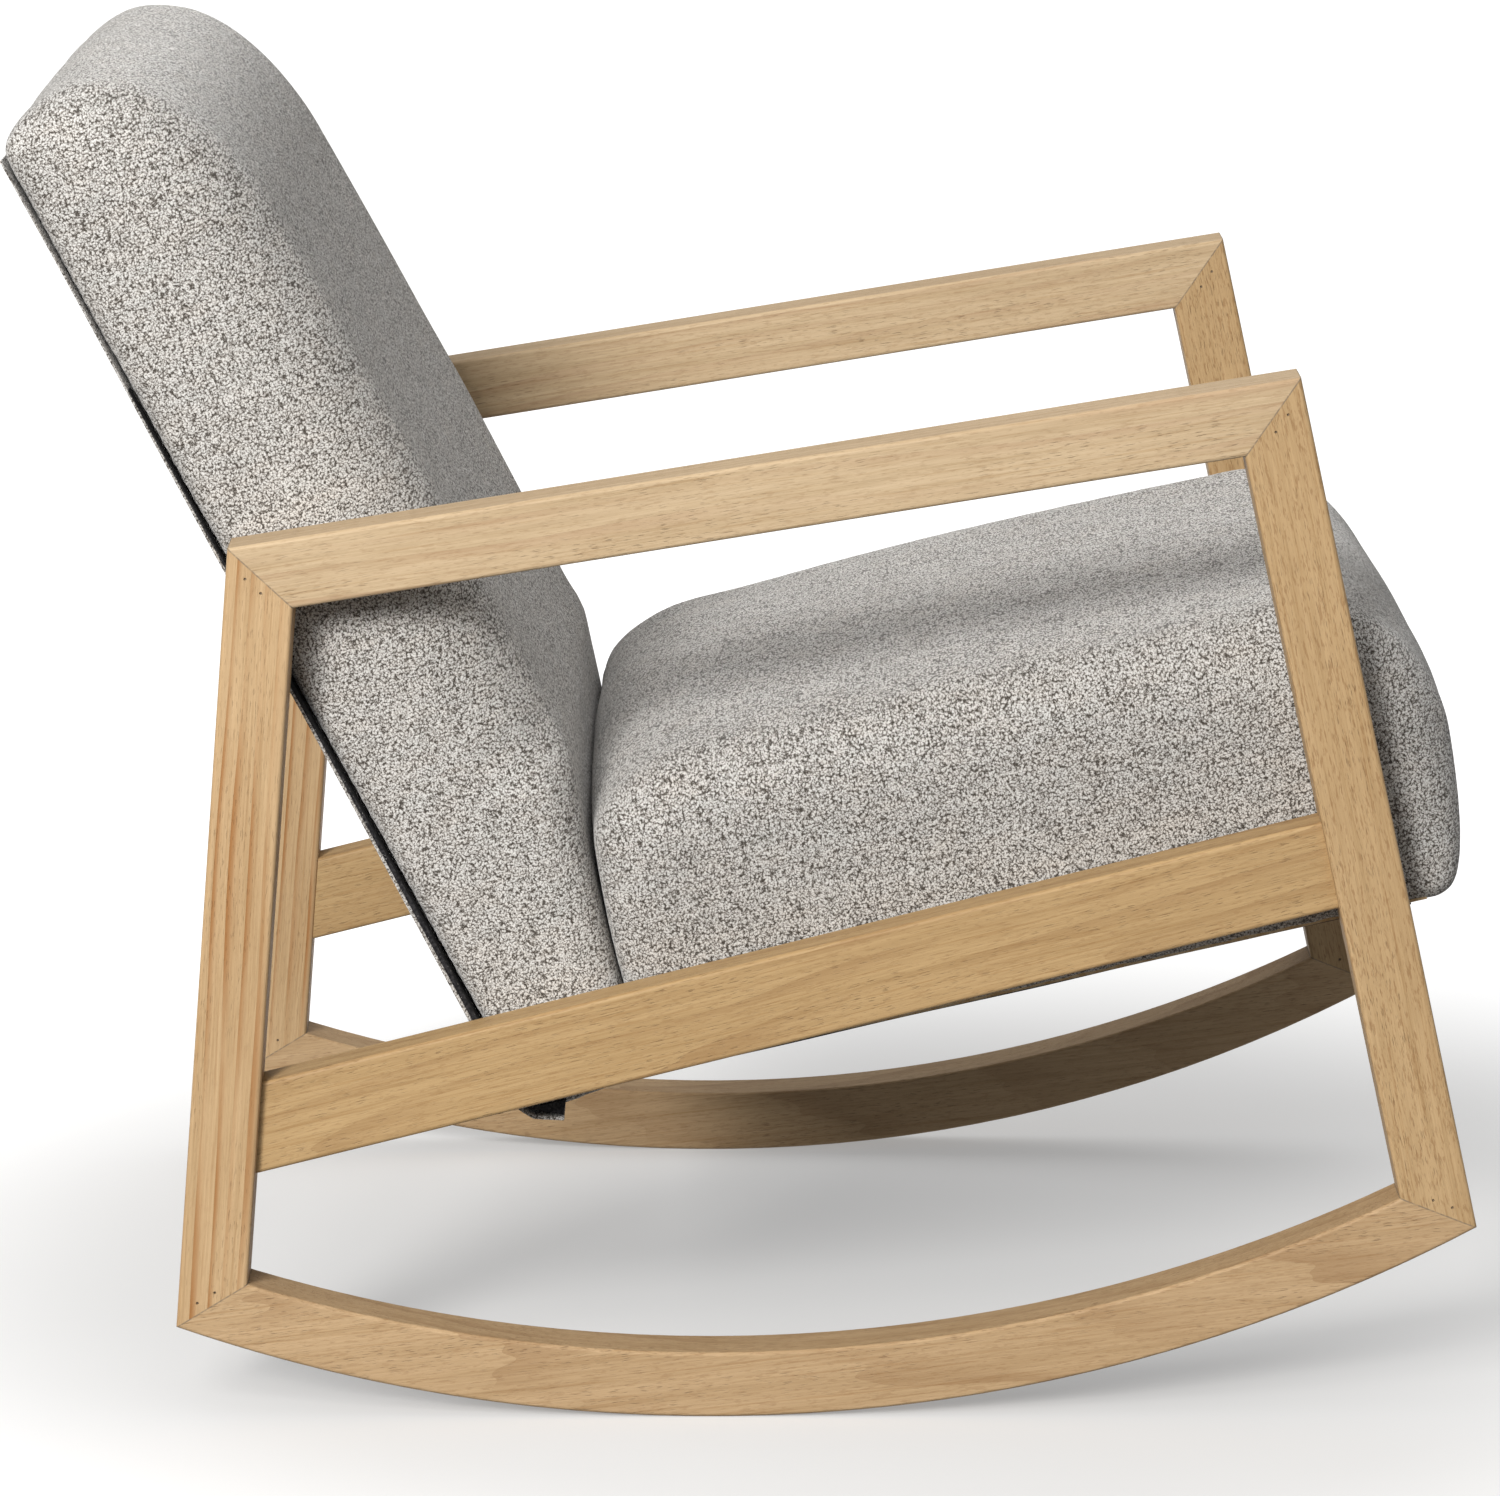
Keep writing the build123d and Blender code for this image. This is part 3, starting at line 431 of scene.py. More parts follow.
def tweed(name, slope, tone=1.0):
    """Light warm grey melange cloth: pale looped yarns with dark flecks of yarn and painted shade
    between them.
    """
    shader = Shader(name, roughness=0.92, specular=0.15)
    shader.surface.inputs["Sheen Weight"].default_value = 0.42
    shader.surface.inputs["Sheen Roughness"].default_value = 0.35
    woven = shader.place(rotation=(radians(slope), 0, 0), scale=(0.42, 1, 1))
    warp = shader.noise(woven, WANDER_CELLS, 2.0, 0.5, colour=True)
    warp = shader.vector("SUBTRACT", warp, (0.5, 0.5, 0.5))
    warp = shader.vector("MULTIPLY", warp, (YARN_WANDER, YARN_WANDER, YARN_WANDER))
    yarn_place = shader.vector("ADD", woven, warp)
    yarns = shader.noise(yarn_place, YARN_CELLS, 2.0, 0.6)
    yarns = shader.math("MULTIPLY", yarns, YARN_SHARE)
    loops = shader.math("SUBTRACT", 1.0, shader.cells(yarn_place, LOOP_CELLS))
    pile = shader.math("ADD", yarns, shader.math("MULTIPLY", loops, LOOP_SHARE))
    rows = shader.noise(shader.moved(yarn_place, scale=(0.3, 0.08, 1)), ROW_CELLS, 1.0)
    picks = shader.noise(shader.moved(yarn_place, scale=(0.3, 1, 0.08)), ROW_CELLS, 1.0)
    grid = shader.math("SUBTRACT", shader.math("ADD", rows, picks), 1.0)
    pile = shader.math("ADD", pile, shader.math("MULTIPLY", grid, ROW_SHARE))
    # Low pile is coloured near black: partly the yarn's own dark flecks, partly painted shade in the
    # gaps between the loops.
    colour = shader.ramp(
        pile,
        (0.37, 0.060, 0.052, 0.044),
        (0.42, 0.165, 0.150, 0.134),
        (0.47, 0.330, 0.312, 0.292),
        (0.52, 0.460, 0.445, 0.426),
        (0.60, 0.655, 0.642, 0.622),
    )
    tints = shader.noise(shader.moved(woven, scale=(1, 0.4, 1)), TINT_CELLS, 3.0, 0.7)
    tint = shader.ramp(
        tints,
        (0.30, 0.93 * tone, 0.94 * tone, 0.94 * tone),
        (0.47, 0.98 * tone, 0.98 * tone, 0.98 * tone),
        (0.70, 0.99 * tone, 0.97 * tone, 0.95 * tone),
    )
    colour = shader.mix(1.0, colour, tint, "MULTIPLY")
    shader.set(base_color=colour, normal=shader.bump(pile, PILE_RELIEF, 0.75))
    return shader.material


# ---------------------------------------------------------------- cushions
def ellipse(centre, radii, start, end, steps):
    """Points on an upright ellipse, angles in degrees."""
    points = []
    for step in range(steps + 1):
        angle = radians(start + (end - start) * step / steps)
        points.append((centre[0] + radii[0] * cos(angle), centre[1] + radii[1] * sin(angle)))
    return points


def stretch(start, end, steps, bulge=0.0):
    """Points after start up to end, on a line that bulges to its right by this much."""
    length = sqrt((end[0] - start[0]) ** 2 + (end[1] - start[1]) ** 2)
    right = ((end[1] - start[1]) / length, (start[0] - end[0]) / length)
    points = []
    for step in range(1, steps + 1):
        part = step / steps
        off = bulge * sin(pi * part)
        points.append(
            (
                start[0] + (end[0] - start[0]) * part + right[0] * off,
                start[1] + (end[1] - start[1]) * part + right[1] * off,
            )
        )
    return points


class Section:
    """A cushion's closed side outline, with the roll radius at its sides and its crown."""

    def __init__(self):
        self.points, self.rolls, self.crowns = [], [], []

    def add(self, points, roll, crown):
        """Adds points whose roll and crown change evenly from the last ones to these."""
        last_roll = self.rolls[-1] if self.rolls else roll
        last_crown = self.crowns[-1] if self.crowns else crown
        for number, point in enumerate(points, 1):
            part = number / len(points)
            self.points.append(point)
            self.rolls.append(last_roll + (roll - last_roll) * part)
            self.crowns.append(last_crown + (crown - last_crown) * part)

    def end(self):
        return self.points[-1]

    def outward(self, number):
        """Unit normal of the outline at a point. The outline runs anticlockwise."""
        before = self.points[number - 1]
        after = self.points[(number + 1) % len(self.points)]
        along = Vector((after[0] - before[0], after[1] - before[1])).normalized()
        return (along.y, -along.x)


ROLL_STEPS = 8
WIDTH_STEPS = 26


def swept(name, section, slope, half_width, inset):
    """Closed mesh of a section across the chair, its sides rolled over.

    inset is how far it stays inside its final skin.
    """
    bm = bmesh.new()
    rings = []
    for number, point in enumerate(section.points):
        out = section.outward(number)
        roll, crown = section.rolls[number], section.crowns[number]
        flat = half_width - roll
        stations = []
        for step in range(ROLL_STEPS + 1):
            angle = pi / 2 * step / ROLL_STEPS
            stations.append((flat + roll * cos(angle), roll - roll * sin(angle)))
        across = list(stations)
        across += [(flat - 2 * flat * step / WIDTH_STEPS, 0.0) for step in range(1, WIDTH_STEPS)]
        across += [(-x, depth) for x, depth in reversed(stations)]
        ring = []
        for x, depth in across:
            push = crown * (1 - (x / half_width) ** 2) - depth - inset
            x_inset = x * (1 - inset / half_width)
            along, height = point[0] + out[0] * push, point[1] + out[1] * push
            ring.append(bm.verts.new(in_row(x_inset, slope, along, height)))
        rings.append(ring)
    for number, ring in enumerate(rings):
        following = rings[(number + 1) % len(rings)]
        for a in range(len(ring) - 1):
            bm.faces.new((ring[a], ring[a + 1], following[a + 1], following[a]))
    bm.faces.new([ring[0] for ring in rings])
    bm.faces.new([ring[-1] for ring in reversed(rings)])
    bmesh.ops.recalc_face_normals(bm, faces=bm.faces)
    mesh = bpy.data.meshes.new(name)
    bm.to_mesh(mesh)
    bm.free()
    piece = bpy.data.objects.new(name, mesh)
    SCENE.collection.objects.link(piece)
    return piece


def bake_modifiers(piece):
    """Replaces a piece's mesh with what its modifiers make of it at this frame."""
    made = piece.evaluated_get(bpy.context.evaluated_depsgraph_get())
    mesh = bpy.data.meshes.new_from_object(made)
    piece.modifiers.clear()
    old = piece.data
    piece.data = mesh
    bpy.data.meshes.remove(old)


def read_points(mesh):
    """The mesh's vertices, as rows of x, y, z."""
    flat = np.empty(len(mesh.vertices) * 3, np.float32)
    mesh.vertices.foreach_get("co", flat)
    return flat.reshape(-1, 3).astype(float)


def read_normals(mesh):
    flat = np.empty(len(mesh.vertices) * 3, np.float32)
    mesh.vertex_normals.foreach_get("vector", flat)
    return flat.reshape(-1, 3).astype(float)


def write_points(mesh, points):
    mesh.vertices.foreach_set("co", points.astype(np.float32).ravel())
    mesh.update()


def stuff(piece, voxel, swell, limit_x):
    """Blows a cushion up as cloth over its foam, by no more than swell, clear of the timber."""
    remesh = piece.modifiers.new("remesh", "REMESH")
    remesh.mode = "VOXEL"
    remesh.voxel_size = voxel
    bake_modifiers(piece)
    rest, out = read_points(piece.data), read_normals(piece.data)
    cloth = piece.modifiers.new("cloth", "CLOTH")
    cloth.settings.quality = 4
    cloth.settings.mass = 0.3
    cloth.settings.tension_stiffness = 15
    cloth.settings.compression_stiffness = 15
    cloth.settings.bending_stiffness = 0.5
    cloth.settings.use_pressure = True
    cloth.settings.uniform_pressure_force = 4
    cloth.settings.effector_weights.gravity = 0
    cloth.collision_settings.use_collision = False
    cloth.point_cache.frame_end = SETTLE_FRAMES
    for step in range(1, SETTLE_FRAMES + 1):
        SCENE.frame_set(step)
    bake_modifiers(piece)
    SCENE.frame_set(1)
    moves = read_points(piece.data) - rest
    outward = np.sum(moves * out, axis=1, keepdims=True)
    sideways = moves - out * outward
    drift = np.maximum(np.linalg.norm(sideways, axis=1, keepdims=True), 1e-9)
    sideways *= np.minimum(1.0, MOST_DRIFT * swell / drift)
    points = rest + out * np.clip(outward, LEAST_SWELL * swell, swell) + sideways
    points[:, 0] = np.clip(points[:, 0], -limit_x, limit_x)
    write_points(piece.data, points)


def relax(piece, rounds):
    """Evens out what the remesh and the cloth leave behind."""
    bm = bmesh.new()
    bm.from_mesh(piece.data)
    for _ in range(rounds):
        bmesh.ops.smooth_vert(
            bm, verts=bm.verts, factor=0.5, use_axis_x=True, use_axis_y=True, use_axis_z=True
        )
    bm.to_mesh(piece.data)
    bm.free()


def lived_in(piece, height, size):
    """Slow, slight unevenness of the foam under the cloth."""
    points = read_points(piece.data)
    waves = np.array([noise.noise(Vector(point) / size) for point in points])
    write_points(piece.data, points + read_normals(piece.data) * (height * waves)[:, None])


def finish_cushion(piece, material, nodes):
    """Smooths and paints a cushion, and hides the CAD nodes it stands for."""
    subdivide = piece.modifiers.new("subdivide", "SUBSURF")
    subdivide.levels = subdivide.render_levels = 1
    for polygon in piece.data.polygons:
        polygon.use_smooth = True
    paint(piece, material)
    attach(piece, "root")
    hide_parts(*nodes)


SWELL = 0.003
LEAST_SWELL = 0.8  # the foam holds the cloth out at least this far, as a part of the swell
MOST_DRIFT = 0.5  # along the foam, likewise
SETTLE_FRAMES = 18
RELAX_ROUNDS = 2
FOAM_WAVES = 0.0009
FOAM_WAVE_SIZE = 0.075
VOXEL = 0.0055
COVER_HALF_WIDTH = 0.2725
COVER_LIMIT_X = 0.2734

SEAT_REAR = 0.012
SEAT_TOP = 0.371
SEAT_FRONT = 0.511
SEAT_NOSE = (0.437, 0.279)
SEAT_REAR_ROLL = (0.085, 0.334)


def seat_section():
    """Front edge, nose, top, rear roll, rear face, underside, lower lip and front face, in turn."""
    section = Section()
    nose_radii = (SEAT_FRONT - SEAT_NOSE[0], SEAT_TOP - SEAT_NOSE[1])
    section.add([(SEAT_FRONT, SEAT_NOSE[1])], 0.044, 0.005)
    section.add(ellipse(SEAT_NOSE, nose_radii, 0, 45, 14)[1:], 0.036, 0.002)
    section.add(ellipse(SEAT_NOSE, nose_radii, 45, 90, 12)[1:], 0.044, 0.001)
    section.add(stretch(section.end(), (SEAT_REAR_ROLL[0], SEAT_TOP), 34, 0.0038), 0.038, 0.0115)
    rear_radii = (SEAT_REAR_ROLL[0] - SEAT_REAR, SEAT_TOP - SEAT_REAR_ROLL[1])
    section.add(ellipse(SEAT_REAR_ROLL, rear_radii, 90, 180, 14)[1:], 0.026, 0.004)
    section.add(stretch(section.end(), (SEAT_REAR, 0.2005), 18, 0.003), 0.005, 0.0)
    section.add([(0.0135, 0.1970), (0.018, 0.1964)], 0.004, 0.0)
    section.add(stretch(section.end(), (0.480, 0.1873), 48), 0.004, 0.0)
    section.add([(0.486, 0.1872), (0.4915, 0.1890), (0.4955, 0.1930)], 0.011, 0.001)
    section.add(stretch(section.end(), (0.5035, 0.2170), 4), 0.026, 0.004)
    section.add(stretch(section.end(), (SEAT_FRONT, SEAT_NOSE[1]), 12, 0.0012)[:-1], 0.044, 0.005)
    return section


BACK_REAR = -0.0135
BACK_FRONT = 0.103
BACK_TOP = 0.850
BACK_REAR_TOP = 0.846
BACK_ROLL = (0.026, 0.722)


def back_point(along, across):
    """A point of the seat's section, given in the back's own section."""
    forward, up = on_slope(SEAT_SLOPE, along, across)
    return on_slope(-BACK_RECLINE, forward, up)


def back_section():
    """Front, top roll, rear edge, rear face, foot, and the two runs that lie against the seat."""
    section = Section()
    gap = 0.0015  # to the seat
    seat_foot = back_point(SEAT_REAR - gap, 0.1975)
    seat_corner = back_point(SEAT_REAR - gap, SEAT_TOP - 0.002)
    filled_out = (BACK_FRONT, seat_corner[1] + 0.040)
    roll_radii = (BACK_FRONT - BACK_ROLL[0], BACK_TOP - BACK_ROLL[1])
    section.add([filled_out], 0.056, 0.001)
    section.add(stretch(section.end(), (BACK_FRONT, BACK_ROLL[1]), 40, 0.002), 0.060, 0.001)
    section.add(ellipse(BACK_ROLL, roll_radii, 0, 90, 30)[1:], 0.050, 0.005)
    section.add(stretch(section.end(), (BACK_REAR + 0.012, BACK_REAR_TOP), 6, 0.001), 0.012, 0.001)
    corner = (BACK_REAR + 0.015, BACK_REAR_TOP - 0.015)
    section.add(ellipse(corner, (0.015, 0.015), 105, 180, 6), 0.005, 0.0)
    rear_foot = (BACK_REAR, 0.206)
    section.add(stretch(section.end(), rear_foot, 90), 0.0035, 0.0)
    section.add([(BACK_REAR + 0.003, 0.200), (BACK_REAR + 0.008, 0.1965)], 0.004, 0.0)
    section.add(stretch(section.end(), seat_foot, 12), 0.004, 0.0)
    section.add(stretch(section.end(), seat_corner, 22, -0.003), 0.030, 0.0)
    section.add(stretch(section.end(), filled_out, 10, 0.003)[:-1], 0.056, 0.001)
    return section


def make_cushions():
    seat_cloth = tweed("tweed_seat", SEAT_SLOPE)
    # tone 1.12 is painted light: the back gets the seat's cloth painted lighter, as if more light
    # falls on the back.
    back_cloth_painted_lighter = tweed("tweed_back_painted_light", 17.0, tone=1.12)
    seat = swept("seat_cushion", seat_section(), SEAT_SLOPE, COVER_HALF_WIDTH, SWELL)
    back = swept("back_cushion", back_section(), BACK_RECLINE, COVER_HALF_WIDTH, SWELL)
    for piece in (seat, back):
        stuff(piece, VOXEL, SWELL, COVER_LIMIT_X)
        relax(piece, RELAX_ROUNDS)
        lived_in(piece, FOAM_WAVES, FOAM_WAVE_SIZE)
    finish_cushion(seat, seat_cloth, ("seat_cover", "seat_foam"))
    finish_cushion(back, back_cloth_painted_lighter, ("back_cover", "back_foam"))


# ---------------------------------------------------------------- the other finishes
def sawn_wood(name, colour, dark, rotation):
    """Raw softwood or beech of the hidden frames and pins, and the filler over the brads."""
    shader = Shader(name, roughness=0.72, specular=0.25)
    place = shader.place(rotation=rotation)
    grain = shader.noise(shader.moved(place, scale=(0.03, 1, 1)), 130, 3.0, 0.6)
    fuzz = shader.noise(shader.moved(place, scale=(0.2, 1, 1)), 900, 2.0)
    tone = shader.mix(shader.span(grain, 0.4, 0.66), colour, dark)
    shade = shader.ramp(fuzz, (0.3, 0.7, 0.66, 0.6), (0.7, 1, 1, 1))
    tone = shader.mix(0.3, tone, shade, "MULTIPLY")
    shader.set(base_color=tone, normal=shader.bump(grain, 0.0004, 0.5))
    return shader.material


def elastic_webbing():
    """Black ribbed webbing with thin pale stripes."""
    shader = Shader("elastic_webbing", roughness=0.85, specular=0.2)
    ribs = shader.noise(shader.place(), 700, 1.0)
    stripes = shader.noise(shader.place(scale=(1, 0.05, 0.05)), 160, 1.0)
    tone = shader.mix(shader.span(ribs, 0.35, 0.65), (0.02, 0.02, 0.02), (0.07, 0.07, 0.068))
    tone = shader.mix(shader.span(stripes, 0.62, 0.66), tone, (0.22, 0.2, 0.17))
    shader.set(base_color=tone, normal=shader.bump(ribs, 0.0005, 0.7))
    return shader.material


def black_cloth(name, scale, fleck):
    """Black non-woven or tape cloth with a little pale lint."""
    shader = Shader(name, roughness=0.9, specular=0.15)
    threads = shader.noise(shader.place(scale=(0.5, 1, 1)), scale, 2.0, 0.6)
    lint = shader.noise(shader.place(), scale * 1.7, 1.0)
    tone = shader.mix(shader.span(threads, 0.35, 0.7), (0.008, 0.008, 0.009), (0.035, 0.034, 0.036))
    tone = shader.mix(shader.span(lint, fleck, fleck + 0.08), tone, (0.28, 0.27, 0.26))
    shader.set(base_color=tone, normal=shader.bump(threads, 0.0004, 0.6))
    return shader.material


def metal(name, colour, roughness):
    """Plated or turned metal, with fine turning marks and a little tarnish."""
    shader = Shader(name, roughness=roughness, specular=0.5)
    shader.surface.inputs["Metallic"].default_value = 1.0
    marks = shader.noise(shader.place(scale=(1, 0.1, 0.1)), 2600, 1.0)
    tarnish = shader.noise(shader.place(), 260, 3.0, 0.6)
    dull = tuple(channel * 0.72 for channel in colour)
    tone = shader.mix(shader.span(tarnish, 0.4, 0.7), colour, dull)
    rough = shader.span(tarnish, 0.3, 0.7, roughness, roughness + 0.18)
    shader.set(base_color=tone, roughness=rough, normal=shader.bump(marks, 0.00005, 0.5))
    return shader.material


def finish_inner_nodes():
    """Finishes for the CAD nodes that are kept and aren't boards of the side frames."""
    pale, knotty = (0.70, 0.55, 0.34), (0.55, 0.36, 0.17)
    softwood = sawn_wood("raw_softwood", pale, knotty, (0, 0, 0))
    upright_softwood = sawn_wood("raw_softwood_upright", pale, knotty, (0, pi / 2, 0))
    beech = sawn_wood("raw_beech", (0.66, 0.47, 0.30), (0.50, 0.31, 0.17), (0, 0, pi / 2))
    webbing = elastic_webbing()
    tape = black_cloth("closure_tape", 620, 0.70)
    steel = metal("zinc_plated_steel", (0.66, 0.66, 0.64), 0.32)
    brass = metal("turned_brass", (0.72, 0.55, 0.26), 0.3)
    filled = sawn_wood("brad_filler", (0.22, 0.165, 0.11), (0.12, 0.09, 0.06), (0, 0, 0))
    finishes = {
        "stile": upright_softwood,
        "board": softwood,
        "rail_dowels": beech,
        "mitre_keys": beech,
        "corner_blocks": softwood,
        "back_bottom_rail": softwood,
        "back_middle_rail": softwood,
        "back_top_rail": softwood,
        "webbing": webbing,
        "closure_tape": tape,
        "brads": filled,
        "bolts": steel,
        "washers": steel,
        "inserts": brass,
    }
    for name, node in NODES.items():
        for ending, material in finishes.items():
            if name.endswith(ending):
                paint(node, material)


# ---------------------------------------------------------------- the two sheets of cloth
SHEET_WIDTH_STEPS = 72


def thin_sheet(name, slope, path, half_width, thicknesses, slack):
    """Closed thin mesh along a path of side points; slack(x, number) moves it out of its plane."""
    bm = bmesh.new()
    skins = ([], [])
    for number, point in enumerate(path):
        before, after = path[max(number - 1, 0)], path[min(number + 1, len(path) - 1)]
        along = Vector((after[0] - before[0], after[1] - before[1])).normalized()
        out = (along.y, -along.x)
        rows = ([], [])
        for step in range(SHEET_WIDTH_STEPS + 1):
            x = half_width * (2 * step / SHEET_WIDTH_STEPS - 1)
            for skin, depth in enumerate((0.0, thicknesses[number])):
                away = slack(x, number) + depth
                spot = (point[0] + out[0] * away, point[1] + out[1] * away)
                rows[skin].append(bm.verts.new(in_row(x, slope, *spot)))
        skins[0].append(rows[0])
        skins[1].append(rows[1])
    inner, outer = skins
    last = len(path) - 1

    def close(first, second, a, b):
        """A face between two rows, from a to b along both."""
        bm.faces.new((first[a], first[b], second[b], second[a]))

    for skin in skins:
        for number in range(last):
            for a in range(SHEET_WIDTH_STEPS):
                close(skin[number], skin[number + 1], a, a + 1)
    for a in range(SHEET_WIDTH_STEPS):
        for number in (0, last):
            close(inner[number], outer[number], a, a + 1)
    for a in (0, SHEET_WIDTH_STEPS):
        inner_edge, outer_edge = [row[a] for row in inner], [row[a] for row in outer]
        for number in range(last):
            close(inner_edge, outer_edge, number, number + 1)
    bmesh.ops.recalc_face_normals(bm, faces=bm.faces)
    mesh = bpy.data.meshes.new(name)
    bm.to_mesh(mesh)
    bm.free()
    sheet = bpy.data.objects.new(name, mesh)
    SCENE.collection.objects.link(sheet)
    for polygon in mesh.polygons:
        polygon.use_smooth = True
    bevel = sheet.modifiers.new("bevel", "BEVEL")
    bevel.width = min(thicknesses) / 2.2
    bevel.segments = 2
    bevel.angle_limit = radians(50)
    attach(sheet, "root")
    return sheet


PANEL_TOP = 0.833
PANEL_FOOT = 0.210
PANEL_THICKNESS = (0.0010, 0.0022)  # at its top, and at its foot where it is folded
PANEL_SLACK = 0.0009


def make_rear_panel():
    """Cloth panel over the open rear of the back, folded under its foot."""
    path = [(-0.0137, PANEL_TOP)]
    path += stretch(path[-1], (-0.0137, 0.710), 10)
    path += stretch(path[-1], (-0.0174, PANEL_FOOT), 72)
    path += stretch(path[-1], (-0.0120, 0.2005), 4)
    path += stretch(path[-1], (0.003, 0.1915), 5)
    top, foot = PANEL_THICKNESS
    thicknesses = []
    for _, up in path:
        part = max(0.0, min(1.0, (PANEL_TOP - up) / (PANEL_TOP - PANEL_FOOT)))
        thicknesses.append(top + (foot - top) * part)

    def slack(x, number):
        waves = noise.noise(Vector((x * 9, path[number][1] * 7, 0.3)))
        return PANEL_SLACK * waves * min(1.0, number / 8)

    panel = thin_sheet("rear_panel", BACK_RECLINE, path, COVER_HALF_WIDTH, thicknesses, slack)
    paint(panel, tweed("tweed_panel", 62.0))
    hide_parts("back_rear_panel")


DUST_HALF_WIDTH = 0.254
DUST_SAG = 0.0024
DUST_THICKNESS = 0.0007
DUST_HEM_THICKNESS = 0.0011
DUST_HEM_ROWS = 2
DUST_WAVES = 0.0007
DUST_PUCKER = 0.0005
STAPLE_PITCH = 0.038


def make_dust_cloth():
    """Black cloth stapled under the seat, its edges turned in, slack between its staples."""
    path = [(0.465, 0.1871), (0.452, 0.1874)]
    path += stretch(path[-1], (0.046, 0.1953), 60) + [(0.033, 0.1955)]
    path.reverse()
    last = len(path) - 1
    thicknesses = [DUST_THICKNESS] * len(path)
    for row in range(DUST_HEM_ROWS):
        thicknesses[row] = thicknesses[last - row] = DUST_HEM_THICKNESS

    def slack(x, number):
        part = number / last
        hang = DUST_SAG * (1 - (x / DUST_HALF_WIDTH) ** 2) * sin(pi * part)
        pucker = DUST_PUCKER * sin(2 * pi * x / STAPLE_PITCH) * (abs(2 * part - 1) ** 6)
        waves = DUST_WAVES * (0.6 + noise.noise(Vector((x * 11, part * 5, 0.7))))
        return max(0.0, hang + pucker + waves)

    cloth = thin_sheet("dust_cloth", SEAT_SLOPE, path, DUST_HALF_WIDTH, thicknesses, slack)
    paint(cloth, black_cloth("dust_cloth", 800, 0.72))
    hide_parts("seat_dust_cover")


# ---------------------------------------------------------------- studio
CAMERA_PLACE = (-4.0433, ROCKING_POINT_Y + 0.003, 1.1918)
CAMERA_TURN = 0.366  # degrees towards the chair's front
CAMERA_DIP = 12.0  # degrees below level
CAMERA_LENS = 160.77
LIGHT_FROM = (-1.0, 0.43, 0.52)
LIGHT_SPREAD = 15.0  # degrees
LIGHT_STRENGTH = 2.25
LIGHT_COLOUR = (1.0, 0.985, 0.96)
SOFT_BOX_REACH = 2.4
SOFT_BOX_SIZE = 0.9
SOFT_BOX_POWER = 26.0
SECOND_LIGHT_FROM = (0.8, -0.35, 1.0)
SECOND_BOX_SIZE = 1.6
SECOND_BOX_POWER = 9.0
SKY_BELOW = 0.16  # what the floor gives back
SKY_LOW = 0.10  # at the horizon
SKY_HIGH = 0.76  # overhead
FLOOR_SIZE = 90.0
FLOOR_GLOW = (0.31, 0.74)  # painted light: floor emission, lower under the chair as a painted shadow and higher far from it
GLOW_FROM = 0.45
GLOW_FULL = 0.95
GLOW_AHEAD = 0.12  # the painted shadow of the floor's emission lies this far in front of the rocking point


def make_camera():
    data = bpy.data.cameras.new("camera")
    data.sensor_width = 36.0
    data.lens = CAMERA_LENS
    data.clip_end = 200.0
    camera = bpy.data.objects.new("camera", data)
    turn, dip = radians(CAMERA_TURN), radians(CAMERA_DIP)
    ahead = Vector((cos(dip) * cos(turn), -cos(dip) * sin(turn), -sin(dip)))
    camera.location = CAMERA_PLACE
    camera.rotation_mode = "QUATERNION"
    camera.rotation_quaternion = ahead.to_track_quat("-Z", "Y")
    SCENE.collection.objects.link(camera)
    SCENE.camera = camera


def add_light(name, kind, towards, power, size):
    """A light on the chair from a direction; size is in degrees for a sun, else in metres."""
    data = bpy.data.lights.new(name, kind)
    data.energy = power
    data.color = LIGHT_COLOUR
    if kind == "SUN":
        data.angle = radians(size)
    else:
        data.size = size
    light = bpy.data.objects.new(name, data)
    middle = (cad_bounds[0] + cad_bounds[1]) / 2
    light.location = middle + Vector(towards).normalized() * SOFT_BOX_REACH
    light.rotation_mode = "QUATERNION"
    light.rotation_quaternion = Vector(towards).to_track_quat("Z", "Y")
    SCENE.collection.objects.link(light)


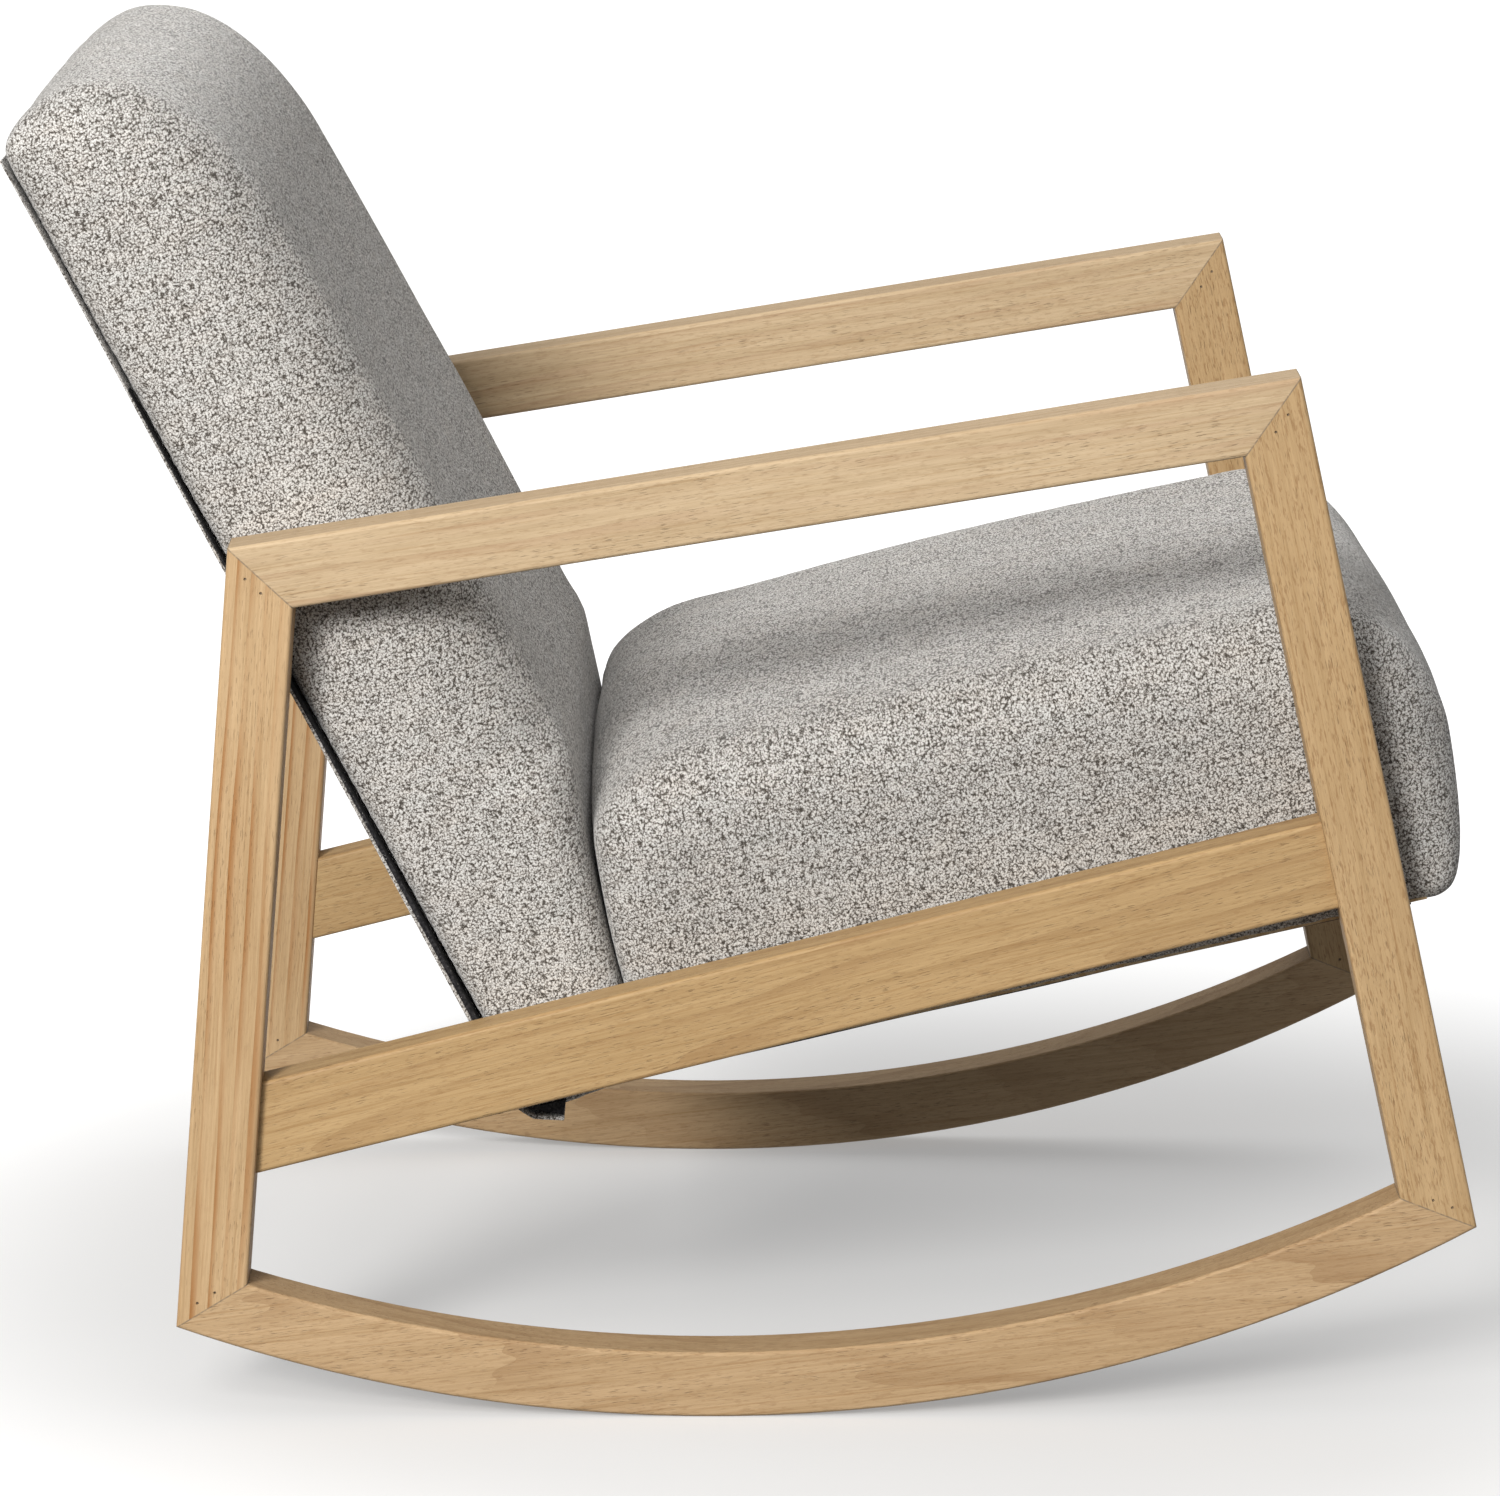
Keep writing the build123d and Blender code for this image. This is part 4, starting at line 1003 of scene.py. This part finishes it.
def make_light():
    """Even light over the floor, two soft boxes near the chair, and a sky darker low down."""
    add_light("even_light", "SUN", LIGHT_FROM, LIGHT_STRENGTH, LIGHT_SPREAD)
    add_light("soft_box", "AREA", LIGHT_FROM, SOFT_BOX_POWER, SOFT_BOX_SIZE)
    add_light("second_box", "AREA", SECOND_LIGHT_FROM, SECOND_BOX_POWER, SECOND_BOX_SIZE)

    world = bpy.data.worlds.new("studio")
    world.use_nodes = True
    nodes, links = world.node_tree.nodes, world.node_tree.links
    background = nodes["Background"]
    direction = nodes.new("ShaderNodeTexCoord").outputs["Generated"]
    height = nodes.new("ShaderNodeSeparateXYZ")
    links.new(direction, height.inputs[0])
    brightness = nodes.new("ShaderNodeMapRange")
    links.new(height.outputs["Z"], brightness.inputs["Value"])
    brightness.inputs["To Min"].default_value = SKY_LOW
    brightness.inputs["To Max"].default_value = SKY_HIGH
    above = nodes.new("ShaderNodeMath")
    above.operation = "GREATER_THAN"
    above.inputs[1].default_value = 0.0
    links.new(height.outputs["Z"], above.inputs[0])
    whole = nodes.new("ShaderNodeMix")
    links.new(above.outputs[0], whole.inputs["Factor"])
    whole.inputs["A"].default_value = SKY_BELOW
    links.new(brightness.outputs["Result"], whole.inputs["B"])
    seen = nodes.new("ShaderNodeLightPath").outputs["Is Camera Ray"]
    strength = nodes.new("ShaderNodeMix")
    links.new(seen, strength.inputs["Factor"])
    links.new(whole.outputs["Result"], strength.inputs["A"])
    strength.inputs["B"].default_value = 1.0
    links.new(strength.outputs["Result"], background.inputs["Strength"])
    background.inputs["Color"].default_value = (1.0, 0.998, 0.994, 1.0)
    SCENE.world = world
    SCENE.view_settings.view_transform = "Standard"


def make_floor():
    mesh = bpy.data.meshes.new("floor")
    half = FLOOR_SIZE / 2
    corners = [(-half, -half, 0), (half, -half, 0), (half, half, 0), (-half, half, 0)]
    mesh.from_pydata(corners, [], [(0, 1, 2, 3)])
    floor = bpy.data.objects.new("floor", mesh)
    SCENE.collection.objects.link(floor)
    shader = Shader("pale_floor", roughness=0.85, specular=0.1)
    mottle = shader.noise(shader.place(), 3, 2.0)
    shader.set(base_color=shader.ramp(mottle, (0.3, 0.515, 0.515, 0.515), (0.7, 0.53, 0.53, 0.53)))
    # The floor's emission is painted light: a dim pool round the chair is a painted shadow, and far
    # off it paints the floor white.
    shader.surface.inputs["Emission Color"].default_value = (1, 1, 1, 1)
    away = shader.vector("LENGTH", shader.place(offset=(0, GLOW_AHEAD, 0)))
    glow = shader.span(away, GLOW_FROM, GLOW_FULL, *FLOOR_GLOW)
    shader.set(emission_strength=glow)
    paint(floor, shader.material)
    floor.visible_diffuse = False  # the sky's lower half stands for what it gives back


make_camera()
make_light()
make_floor()
finish_timbers()
finish_inner_nodes()
make_cushions()
make_rear_panel()
make_dust_cloth()
